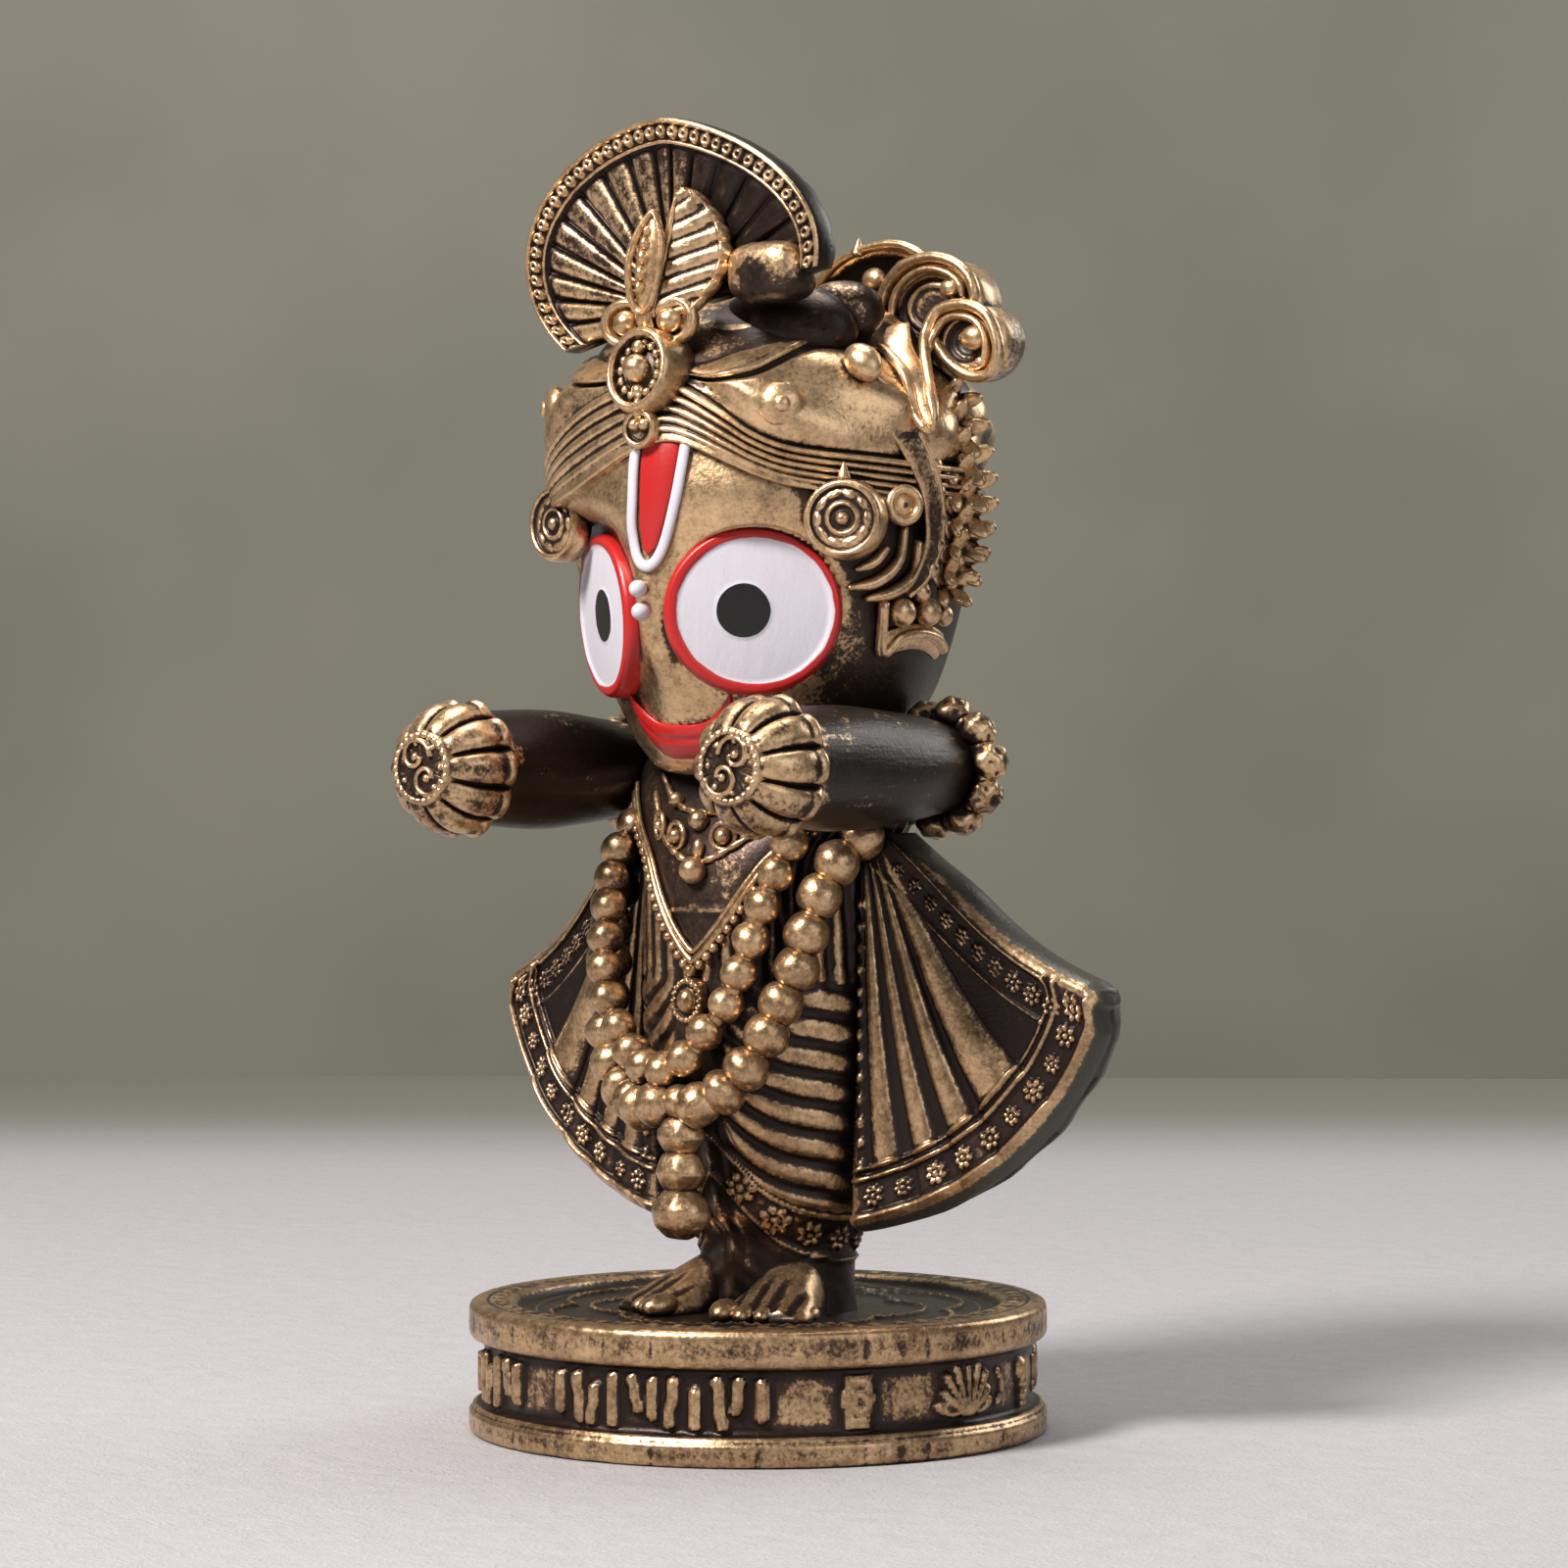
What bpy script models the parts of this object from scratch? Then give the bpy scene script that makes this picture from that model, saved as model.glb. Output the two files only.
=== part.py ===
"""A small cast votive figure with round eyes, stub arms, a fan crest and a robe, on its round plinth.

The whole figure is one casting, so every form below is shaped on its own and then united into one solid.
Shapes are written in millimetres and scaled to metres when a mesh is made. The figure faces -Y, its left side
is +X, and the origin is the middle of the plinth's underside.
"""

import math

import bmesh
import bpy
from mathutils import Matrix, Vector

MM = 0.001
FIGURE_NAME = "jagannath_figure"

# Corners nearer than this are one corner, and the finished solid keeps to this many triangles
WELD = 0.003
TRIANGLE_BUDGET = 9800

# Plinth: radius and height at each turn of its profile, from the axis of the floor down its outer side
PLINTH_RADIUS = 22.5
PLINTH_HEIGHT = 10.1
FLOOR_RADIUS = 18.6
FLOOR_HEIGHT = 9.2
PLINTH_PROFILE = (
    (0.0, FLOOR_HEIGHT),
    (FLOOR_RADIUS, FLOOR_HEIGHT),
    (FLOOR_RADIUS + 0.5, PLINTH_HEIGHT - 0.15),
    (PLINTH_RADIUS - 0.7, PLINTH_HEIGHT),
    (PLINTH_RADIUS, PLINTH_HEIGHT - 0.6),
    (PLINTH_RADIUS, 7.5),
    (PLINTH_RADIUS - 0.8, 7.0),
    (PLINTH_RADIUS - 0.8, 2.4),
    (PLINTH_RADIUS - 0.1, 2.0),
    (PLINTH_RADIUS, 0.5),
    (PLINTH_RADIUS - 0.4, 0.0),
    (0.0, 0.0),
)
PLINTH_SIDES = 48

# Robe: height, half width, half depth and middle in Y of its sections
ROBE_SECTIONS = (
    (8.6, 7.0, 5.4, 2.2),
    (12.0, 6.4, 5.4, 2.5),
    (15.2, 6.6, 6.0, 2.6),
    (17.0, 7.9, 7.2, 2.4),
    (20.5, 8.6, 8.0, 2.1),
    (25.0, 9.3, 8.8, 1.8),
    (31.0, 9.7, 9.3, 1.5),
    (38.0, 10.0, 9.4, 1.5),
    (44.0, 10.2, 9.0, 1.5),
    (47.5, 12.4, 8.0, 2.0),
    (51.5, 12.8, 6.6, 2.6),
    (54.5, 9.0, 5.4, 2.6),
)
ROBE_SIDES = 28
ROBE_RINGS = 22
FOLD_DEPTH = 0.55
FOLDS = 6
FOLD_LOW = 16.5
FOLD_HIGH = 35.0

# Head: height, radius and middle in Y of its round sections
HEAD_PROFILE = (
    (50.2, 5.6, 1.6),
    (51.3, 8.6, 1.7),
    (53.0, 10.2, 1.8),
    (55.5, 11.6, 1.8),
    (58.0, 12.9, 1.8),
    (61.0, 14.1, 1.7),
    (64.0, 15.0, 1.4),
    (68.0, 15.8, 1.1),
    (72.0, 16.2, 1.0),
    (76.0, 16.0, 1.0),
    (80.0, 15.0, 1.3),
    (84.0, 12.9, 1.8),
    (87.0, 9.6, 2.0),
    (88.8, 5.0, 2.2),
    (89.6, 0.9, 2.2),
)
HEAD_SIDES = 28

# Turban: the angle from the front in degrees, and the heights where its band starts, where its roll
# starts and where the roll ends
TURBAN_EDGES = (
    (0.0, 76.0, 80.2, 81.0),
    (18.0, 75.0, 79.4, 81.6),
    (34.0, 72.6, 76.4, 83.2),
    (50.0, 71.6, 74.9, 83.8),
    (66.0, 71.2, 74.5, 83.4),
    (90.0, 71.0, 74.5, 82.8),
    (180.0, 71.0, 74.8, 82.4),
)
BAND_THICK = 0.9
STRANDS = 3
STRAND_DEPTH = 0.35
ROLL_THICK = 1.7

# Fan crest: the place that its ribs run from, and the oval of its rim about a higher middle
FAN_HUB_PLACE = (0.0, 86.4)
FAN_MIDDLE = (0.0, 90.3)
FAN_WIDE, FAN_TALL = 14.3, 10.5
FAN_POINT, FAN_POINT_LEFT = 1.15, 1.4
FAN_RIM = 1.8
FAN_FIRST, FAN_LAST = -8.0, 218.0
FAN_RIBS = 16
FAN_FRONT = -10.6
FAN_LEAN = 0.1
FAN_THICK = 1.5
FAN_GROOVE = 0.6
FAN_HUB = 2.6

# Robe wings: the hub that the pleats run from, and the polar outline about it in the XZ plane
WING_HUB = (10.5, 48.0)
WING_INNER, WING_OUTER = -94.0, -35.5
WING_START = 2.5
WING_HEM_INNER, WING_HEM_OUTER = 31.8, 24.2
WING_BEND = 4.6
WING_THICK = 4.0
WING_SWEEP = 0.24
WING_Y = 1.3
WING_PLEATS = 5
PLEAT_DEPTH = 0.9
WING_STEPS = 20

# Arms: place of the axis, then Y and radius along it, from the shoulder to the front
ARM_X = 14.9
ARM_Z = 51.4
ARM_PROFILE = (
    (7.2, 1.0),
    (6.2, 2.4),
    (3.0, 3.4),
    (-2.0, 4.2),
    (-8.0, 4.6),
    (-17.3, 4.6),
)
CUFF_PROFILE = ((-17.6, 5.1), (-19.6, 5.0), (-21.2, 4.3), (-22.2, 3.6))
MEDALLION_RADIUS = 2.8
MEDALLION_Y = -22.7
CUFF_PETALS = 10
PETAL_DEPTH = 0.45
ARM_SIDES = 20
ARMLET_Y = 4.2
ARMLET_RADIUS = 4.25
ARMLET_THICK = 1.25
ARMLET_BEADS = 10

# Face and ear ornaments: where each dome or disc stands, its turn from the front in degrees and its radii
EYE_TURN = 31.0
EYE_HEIGHT = 63.2
EYE_REACH, EYE_Y = 12.9, 1.4
EYE_TILT = -12.0
EYE_WIDE, EYE_TALL, EYE_DOME = 6.8, 6.5, 2.3
EARRING_PLACE = (14.3, -7.6, 70.0)
EARRING_TURN = 18.0
EARRING_RADIUS = 2.85
EARRING_THICK = 2.6
SMALL_RING_PLACE = (16.4, -2.9, 71.0)
SMALL_RING_TURN = 60.0
SMALL_RING_RADIUS = 1.4
TURBAN_BOSS_PLACE = (11.7, -10.6, 79.4)
TURBAN_BOSS_TURN = 46.0
TURBAN_BOSS_RADIUS = 1.9

# Garlands: angle from the front in degrees and height of the strings of beads, right side to middle
OUTER_STRING = ((74.0, 46.8), (62.0, 42.0), (55.0, 37.0), (46.0, 32.2), (30.0, 28.2), (0.0, 25.6))
INNER_STRING = ((46.0, 47.0), (37.0, 41.8), (29.0, 37.6), (21.0, 33.4), (11.0, 30.0), (0.0, 28.6))
OUTER_BEAD = 1.75
INNER_BEAD = 1.4
TASSEL = ((23.4, 1.75), (20.6, 1.85), (17.4, 2.15))
TASSEL_Y = -9.8

# Scroll ornament behind the left temple: middle in X and Z, and radius of each curl
SCROLL_FRONT, SCROLL_BACK = 2.6, 6.2
SCROLL_CURLS = ((17.6, 84.2, 3.1), (14.2, 86.6, 4.2), (9.6, 88.0, 3.6))
SCROLL_STEM = ((10.5, 84.0), (13.6, 77.6), (15.6, 78.0), (15.6, 84.0))


def eased(table, at, column=1):
    """Reads one column of a table of knots at a place, along a smooth curve through the knots."""
    at = min(max(at, table[0][0]), table[-1][0])
    last = len(table) - 2
    i = next(k for k in range(last + 1) if at <= table[k + 1][0])
    low, high = table[i], table[i + 1]
    before, after = table[max(i - 1, 0)], table[min(i + 2, last + 1)]
    step = high[0] - low[0]
    share = (at - low[0]) / step
    slope_low = (high[column] - before[column]) / (high[0] - before[0]) * step
    slope_high = (after[column] - low[column]) / (after[0] - low[0]) * step
    square, cube = share**2, share**3
    return (
        (2 * cube - 3 * square + 1) * low[column]
        + (cube - 2 * square + share) * slope_low
        + (3 * square - 2 * cube) * high[column]
        + (cube - square) * slope_high
    )


def link(name, data):
    """Puts a mesh or a curve in the scene as an object, where it waits to be united with the others."""
    item = bpy.data.objects.new(name, data)
    bpy.context.scene.collection.objects.link(item)
    return item


def finished(name, work):
    """Turns a bmesh in millimetres into an object in metres with its faces pointing out."""
    bmesh.ops.scale(work, vec=(MM, MM, MM), verts=work.verts)
    bmesh.ops.recalc_face_normals(work, faces=work.faces)
    bmesh.ops.triangulate(work, faces=work.faces)
    mesh = bpy.data.meshes.new(name)
    work.to_mesh(mesh)
    work.free()
    return link(name, mesh)


def as_mesh(item):
    """Replaces an object by the mesh that its modifiers or its curve give."""
    bpy.context.view_layer.update()
    evaluated = item.evaluated_get(bpy.context.evaluated_depsgraph_get())
    mesh = bpy.data.meshes.new_from_object(evaluated)
    made = link(item.name + "_mesh", mesh)
    made.matrix_world = item.matrix_world
    bpy.data.objects.remove(item)
    work = bmesh.new()
    work.from_mesh(mesh)
    bmesh.ops.remove_doubles(work, verts=work.verts, dist=WELD * MM)
    bmesh.ops.triangulate(work, faces=work.faces)
    work.to_mesh(mesh)
    work.free()
    return made


def loft(name, rings, strip=False):
    """Joins unlike rings of points and closes both ends, round a middle point or else in a strip."""
    work = bmesh.new()
    rows = [[work.verts.new(point) for point in ring] for ring in rings]
    for low, high in zip(rows, rows[1:]):
        for i, corner in enumerate(low):
            following = (i + 1) % len(low)
            work.faces.new((corner, low[following], high[following], high[i]))
    for row, ring in ((rows[0], rings[0]), (rows[-1], rings[-1])):
        count = len(row)
        if strip:
            for i in range((count - 1) // 2):
                near = (row[i], row[i + 1], row[count - 2 - i], row[count - 1 - i])
                work.faces.new(tuple(dict.fromkeys(near)))
        else:
            middle = work.verts.new(sum(ring, Vector()) / count)
            for i, corner in enumerate(row):
                work.faces.new((corner, row[(i + 1) % count], middle))
    return finished(name, work)


def ball(name, middle, radii, segments=8, rings=5, turn=0.0):
    """A ball or egg with its own radius along each axis, turned about Z by an angle in degrees."""
    work = bmesh.new()
    bmesh.ops.create_uvsphere(work, u_segments=segments, v_segments=rings, radius=1.0)
    swing = Matrix.Rotation(math.radians(turn), 4, "Z")
    place = Matrix.Translation(middle) @ swing @ Matrix.Diagonal((*radii, 1))
    bmesh.ops.transform(work, matrix=place, verts=work.verts)
    return finished(name, work)


def facing(turn, tilt=0.0):
    """The matrix that turns a disc's axis from +Z to a direction given by its turn from the front."""
    swing = Matrix.Rotation(math.radians(turn), 4, "Z")
    return swing @ Matrix.Rotation(math.radians(90.0 - tilt), 4, "X")


def disc(name, middle, turn, radii, thick, sides=16, dish=0.0, tilt=0.0):
    """A round or oval disc whose front faces out, with its front face sunk inside a rim if dish is set."""
    work = bmesh.new()
    bmesh.ops.create_cone(work, cap_ends=True, segments=sides, radius1=1.0, radius2=1.0, depth=thick)
    bmesh.ops.scale(work, vec=(radii[0], radii[1], 1.0), verts=work.verts)
    if dish:
        front = max(work.faces, key=lambda face: face.calc_center_median().z)
        bmesh.ops.inset_region(work, faces=[front], thickness=0.22 * min(radii))
        bmesh.ops.inset_region(work, faces=[front], thickness=0.1 * min(radii))
        bmesh.ops.translate(work, vec=(0.0, 0.0, -dish), verts=front.verts)
    bmesh.ops.transform(work, matrix=Matrix.Translation(middle) @ facing(turn, tilt), verts=work.verts)
    return finished(name, work)


def tube(name, points, radius, resolution=1, closed=False):
    """A rod along a smooth line of points, as a bevelled curve."""
    data = bpy.data.curves.new(name, "CURVE")
    data.dimensions = "3D"
    data.bevel_depth = radius * MM
    data.bevel_resolution = resolution
    data.use_fill_caps = True
    spline = data.splines.new("POLY")
    spline.points.add(len(points) - 1)
    for point, place in zip(spline.points, points):
        point.co = (*(Vector(place) * MM), 1.0)
    spline.use_cyclic_u = closed
    return as_mesh(link(name, data))


def slab(name, outline, front, back):
    """A flat shape in the XZ plane, given by its outline, that reaches from front to back in Y."""
    data = bpy.data.curves.new(name, "CURVE")
    data.dimensions = "2D"
    data.fill_mode = "BOTH"
    data.extrude = (back - front) / 2 * MM
    spline = data.splines.new("POLY")
    spline.points.add(len(outline) - 1)
    for point, (x, z) in zip(spline.points, outline):
        point.co = (x * MM, z * MM, 0.0, 1.0)
    spline.use_cyclic_u = True
    item = link(name, data)
    item.rotation_euler = (math.radians(90.0), 0.0, 0.0)
    item.location = (0.0, (front + back) / 2 * MM, 0.0)
    return as_mesh(item)


def robe_point(angle, height, lift=0.0):
    """A point on the robe at an angle from the front and a height, moved out by lift."""
    wide = eased(ROBE_SECTIONS, height, 1) + lift
    deep = eased(ROBE_SECTIONS, height, 2) + lift
    middle = eased(ROBE_SECTIONS, height, 3)
    return Vector((wide * math.sin(angle), middle - deep * math.cos(angle), height))


def head_point(angle, height, lift=0.0):
    """A point on the bare head at an angle from the front and a height, moved out by lift."""
    radius = eased(HEAD_PROFILE, height) + lift
    middle = eased(HEAD_PROFILE, height, 2)
    return Vector((radius * math.sin(angle), middle - radius * math.cos(angle), height))


def plinth():
    """The round plinth, turned from its profile, with a sunk floor inside its rim."""
    mesh = bpy.data.meshes.new("plinth_profile")
    points = [Vector((radius, 0.0, height)) * MM for radius, height in PLINTH_PROFILE]
    mesh.from_pydata(points, [(i, i + 1) for i in range(len(points) - 1)], [])
    item = link("plinth", mesh)
    turn = item.modifiers.new("turned", "SCREW")
    turn.steps = turn.render_steps = PLINTH_SIDES
    turn.use_merge_vertices = True
    turn.merge_threshold = 0.01 * MM
    return as_mesh(item)


def robe():
    """The body and wrapped robe, with folds that hang in curves from the front to the sides."""
    rings = []
    low, high = ROBE_SECTIONS[0][0], ROBE_SECTIONS[-1][0]
    for k in range(ROBE_RINGS):
        height = low + (high - low) * k / (ROBE_RINGS - 1)
        ring = []
        for i in range(ROBE_SIDES):
            angle = 2 * math.pi * i / ROBE_SIDES
            side = abs(math.sin(angle))
            hang = (height - FOLD_LOW) / (FOLD_HIGH - FOLD_LOW) + 0.35 * side
            strength = math.sin(math.pi * min(max(hang, 0.0), 1.0)) * side
            fold = FOLD_DEPTH * strength * math.cos(2 * math.pi * FOLDS * hang)
            ring.append(robe_point(angle, height, fold))
        rings.append(ring)
    return loft("robe", rings)


def turban_height(angle, share):
    """Height on the head at an angle: share 0 to 1 is the face, then the band, the roll and the top."""
    degrees = abs((math.degrees(angle) + 180.0) % 360.0 - 180.0)
    marks = (
        HEAD_PROFILE[0][0],
        eased(TURBAN_EDGES, degrees, 1),
        eased(TURBAN_EDGES, degrees, 2),
        eased(TURBAN_EDGES, degrees, 3),
        HEAD_PROFILE[-1][0],
    )
    zone = min(int(share), 3)
    return marks[zone] + (marks[zone + 1] - marks[zone]) * (share - zone)


def turban_thickness(share, angle):
    """How far the turban stands out from the bare head in each zone of turban_height."""
    if share <= 1.0:
        return 0.0
    if share <= 2.0:
        strand = abs(math.sin(math.pi * STRANDS * (share - 1.0)))
        return BAND_THICK - STRAND_DEPTH * (1.0 - strand)
    if share <= 3.0:
        tall = turban_height(angle, 3.0) - turban_height(angle, 2.0)
        return 0.5 + (ROLL_THICK - 0.5) * math.sin(math.pi * (share - 2.0)) ** 0.7 * min(tall / 5.0, 1.0)
    return 0.6 * (4.0 - share)


def head():
    """The egg-shaped head with the turban's stranded band and padded roll."""
    face = [0.0, 0.05, 0.14, 0.3, 0.48, 0.68, 0.86, 1.0]
    band = [1.02, 1.17, 1.33, 1.5, 1.67, 1.83, 2.0]
    roll = [2.12, 2.4, 2.7, 3.0]
    top = [3.3, 3.7, 4.0]
    rings = []
    for share in face + band + roll + top:
        ring = []
        for i in range(HEAD_SIDES):
            angle = 2 * math.pi * i / HEAD_SIDES
            ring.append(head_point(angle, turban_height(angle, share), turban_thickness(share, angle)))
        rings.append(ring)
    return loft("head", rings)


def fan_crest():
    """The pleated fan above the forehead, with ribs that run out to a raised rim."""
    hub_x, hub_z = FAN_HUB_PLACE
    sections = []
    steps = 2 * FAN_RIBS
    for k in range(steps + 1):
        angle = math.radians(FAN_FIRST + (FAN_LAST - FAN_FIRST) * k / steps)
        point = FAN_POINT if math.cos(angle) < 0.0 else FAN_POINT_LEFT
        across = math.copysign(abs(math.cos(angle)) ** point, math.cos(angle))
        outer = Vector((FAN_MIDDLE[0] + FAN_WIDE * across, 0.0, FAN_MIDDLE[1] + FAN_TALL * math.sin(angle)))
        hub = Vector((hub_x, 0.0, hub_z))
        whole = (outer - hub).length
        along = (outer - hub) / whole
        inner = whole - FAN_RIM
        groove = FAN_GROOVE if k % 2 == 0 else 0.0
        radial = (
            (FAN_HUB, -groove * 0.3),
            (inner - 0.4, -groove - 0.1),
            (inner, 0.7),
            (whole - 0.3, 0.7),
            (whole, 0.2),
            (whole - 0.2, -FAN_THICK),
            (FAN_HUB, -FAN_THICK),
        )
        section = []
        for reach, out in radial:
            point = hub + along * reach
            section.append(point + Vector((0.0, FAN_FRONT - out - FAN_LEAN * (point.z - 90.0), 0.0)))
        sections.append(section)
    return loft("fan_crest", sections, strip=True)


def wing(side):
    """One spread side of the robe: a thick sheet with pleats that run from the shoulder to the hem."""
    hub_x, hub_z = WING_HUB
    sections = []
    for k in range(WING_STEPS + 1):
        share = k / WING_STEPS
        turn = WING_INNER + (WING_OUTER - WING_INNER) * share
        hem = WING_HEM_INNER + (WING_HEM_OUTER - WING_HEM_INNER) * share
        pleat = math.cos(2 * math.pi * WING_PLEATS * share / 0.82) if share < 0.82 else -0.6
        front, back = [], []
        for n in range(6):
            along = n / 5
            reach = WING_START + (hem - WING_START) * along
            bend = WING_BEND * math.sin(math.pi * min(along * 1.05, 1.0)) * share
            angle = math.radians(turn - bend)
            x = hub_x + reach * math.cos(angle)
            z = hub_z + reach * math.sin(angle)
            middle = WING_Y + WING_SWEEP * max(x - hub_x, 0.0)
            depth = PLEAT_DEPTH * pleat * math.sin(0.5 * math.pi * along)
            front.append(Vector((side * x, middle - WING_THICK / 2 - depth, z)))
            back.append(Vector((side * x, middle + WING_THICK / 2, z)))
        edge = front[-1].lerp(back[-1], 0.5) + Vector((0.0, 0.0, -0.5))
        sections.append(front + [edge] + back[::-1])
    return loft("wing", sections, strip=True)


def arm(side):
    """A stub arm that points forward and ends in a petalled cuff round a flat medallion."""
    rings = []
    for y, radius in ARM_PROFILE + CUFF_PROFILE:
        in_cuff = (y, radius) in CUFF_PROFILE
        ring = []
        for i in range(ARM_SIDES):
            angle = 2 * math.pi * i / ARM_SIDES
            notch = PETAL_DEPTH if in_cuff and i % 2 == 0 else 0.0
            reach = radius - notch
            ring.append(
                Vector((side * ARM_X + reach * math.sin(angle), y, ARM_Z + reach * math.cos(angle)))
            )
        rings.append(ring)
    loft("arm", rings)
    disc("medallion", (side * ARM_X, MEDALLION_Y + 1.0, ARM_Z), 0.0, (MEDALLION_RADIUS,) * 2, 2.0, 16, 0.3)
    armlet(side)


def armlet(side):
    """The ring of heavy beads round the back of the arm."""
    points = 2 * ARMLET_BEADS
    rings = []
    for k in range(points):
        angle = 2 * math.pi * k / points
        thick = ARMLET_THICK * (1.0 if k % 2 else 0.72)
        ring = []
        for n in range(6):
            turn = 2 * math.pi * n / 6
            reach = ARMLET_RADIUS + thick * math.cos(turn)
            ring.append(
                Vector(
                    (
                        side * ARM_X + reach * math.sin(angle),
                        ARMLET_Y + 1.2 * thick * math.sin(turn),
                        ARM_Z + reach * math.cos(angle),
                    )
                )
            )
        rings.append(ring)
    closed_loft("armlet", rings)


def closed_loft(name, rings):
    """Joins rings of points into a loop that meets itself, such as a torus."""
    work = bmesh.new()
    rows = [[work.verts.new(point) for point in ring] for ring in rings]
    for k, low in enumerate(rows):
        high = rows[(k + 1) % len(rows)]
        for i, corner in enumerate(low):
            following = (i + 1) % len(low)
            work.faces.new((corner, low[following], high[following], high[i]))
    return finished(name, work)


def face_and_ears():
    """The low domes of the eyes, the ear discs and the bosses on the turban."""
    for side in (-1, 1):
        turn = side * EYE_TURN
        swing = math.radians(turn)
        middle = (EYE_REACH * math.sin(swing), EYE_Y - EYE_REACH * math.cos(swing), EYE_HEIGHT)
        work = bmesh.new()
        bmesh.ops.create_uvsphere(work, u_segments=20, v_segments=8, radius=1.0)
        bmesh.ops.scale(work, vec=(EYE_WIDE, EYE_TALL, EYE_DOME), verts=work.verts)
        place = Matrix.Translation(middle) @ facing(turn, EYE_TILT)
        bmesh.ops.transform(work, matrix=place, verts=work.verts)
        finished("eye", work)
        x, y, z = EARRING_PLACE
        turn = side * EARRING_TURN
        disc("ear_disc", (side * x, y + 0.9, z), turn, (EARRING_RADIUS,) * 2, EARRING_THICK, 20, 0.4)
        x, y, z = TURBAN_BOSS_PLACE
        disc("boss", (side * x, y + 0.4, z), side * TURBAN_BOSS_TURN, (TURBAN_BOSS_RADIUS,) * 2, 3.0, 14)
    x, y, z = SMALL_RING_PLACE
    disc("small_ring", (x, y, z), SMALL_RING_TURN, (SMALL_RING_RADIUS,) * 2, 2.6, 12, 0.3)


def front_jewel():
    """The oval jewel over the forehead, its bow of two pearls, the leaf above and the drop below."""
    disc("jewel", (0.0, -13.5, 81.5), 0.0, (3.0, 3.3), 2.6, 20, 0.4)
    for side in (-1, 1):
        disc("bow_loop", (side * 2.2, -12.2, 85.3), 0.0, (2.0, 1.8), 2.4, 14, 0.3)
        ball("bow_pearl", (side * 2.1, -13.3, 85.3), (1.0, 1.0, 1.0), 8, 5)
    ball("bow_knot", (0.0, -13.2, 85.8), (0.9, 1.0, 1.6), 8, 6)
    ball("jewel_pearl", (0.0, -14.7, 81.7), (1.3, 0.9, 1.4), 10, 6)
    disc("jewel_drop", (0.0, -13.2, 77.3), 0.0, (1.4, 1.5), 2.8, 10, 0.3)
    leaf = []
    for k in range(9):
        share = k / 8
        height = 85.6 + 10.4 * share
        half = 0.25 + 4.4 * math.sin(math.pi * min(0.12 + 0.88 * share, 1.0)) ** 0.8
        x, y = 2.1 * share, -13.2 + 1.1 * share
        edge = 0.35 if k % 2 else -0.15
        reach = half + edge
        leaf.append(
            [
                Vector((x, y - 0.9, height)),
                Vector((x + 0.8 * reach, y + 0.1 + 0.5 * reach, height)),
                Vector((x + 0.5 * reach, y + 1.4 + 0.5 * reach, height)),
                Vector((x, y + 1.8, height)),
                Vector((x - 0.5 * reach, y + 1.4 + 0.5 * reach, height)),
                Vector((x - 0.8 * reach, y + 0.1 + 0.5 * reach, height)),
            ]
        )
    loft("crest_leaf", leaf)


def side_ornaments():
    """The scroll behind the left temple, the cloth tail from it, the spiked flower string and its bell."""
    for k, (x, z, radius) in enumerate(SCROLL_CURLS):
        disc(
            "curl",
            (x, (SCROLL_FRONT + SCROLL_BACK) / 2 + 0.4 * k, z),
            0.0,
            (radius, radius),
            SCROLL_BACK - SCROLL_FRONT,
            20,
            0.45,
        )
    slab("scroll_stem", SCROLL_STEM, SCROLL_FRONT - 1.2, SCROLL_BACK - 0.3)
    ball("cloth_knob", (9.2, -7.9, 87.8), (3.9, 4.0, 2.9), 12, 8, 41.0)
    ball("tie_knot", (15.1, -6.5, 81.7), (1.6, 1.6, 1.3), 8, 5)
    strap = []
    for k in range(10):
        share = k / 9
        angle = math.radians(70.0 + 24.0 * share ** 1.4)
        height = 81.2 - 15.0 * share
        strap.append(head_point(angle, height, 1.35 + 0.4 * math.sin(math.pi * share)))
    tube("strap", strap, 0.85, 1)
    spikes = 9
    for k in range(spikes):
        share = k / (spikes - 1)
        angle = math.radians(112.0 - 8.0 * math.sin(math.pi * share) - 14.0 * share)
        height = 80.0 - 16.0 * share
        point = head_point(angle, height, 0.5)
        work = bmesh.new()
        bmesh.ops.create_cone(work, cap_ends=True, segments=5, radius1=1.9, radius2=0.7, depth=1.9)
        swing = Matrix.Rotation(angle, 4, "Z") @ Matrix.Rotation(math.radians(-12.0), 4, "X")
        bmesh.ops.transform(work, matrix=Matrix.Translation(point) @ swing, verts=work.verts)
        finished("flower", work)
    bell = head_point(math.radians(88.0), 62.0, 0.8)
    ball("bell", bell, (1.6, 2.6, 1.5), 10, 6)
    for lift in (-1.2, 1.2):
        ball("bell_bead", bell + Vector((0.5, lift, 1.7)), (1.15, 1.15, 1.15), 8, 5)


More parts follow.
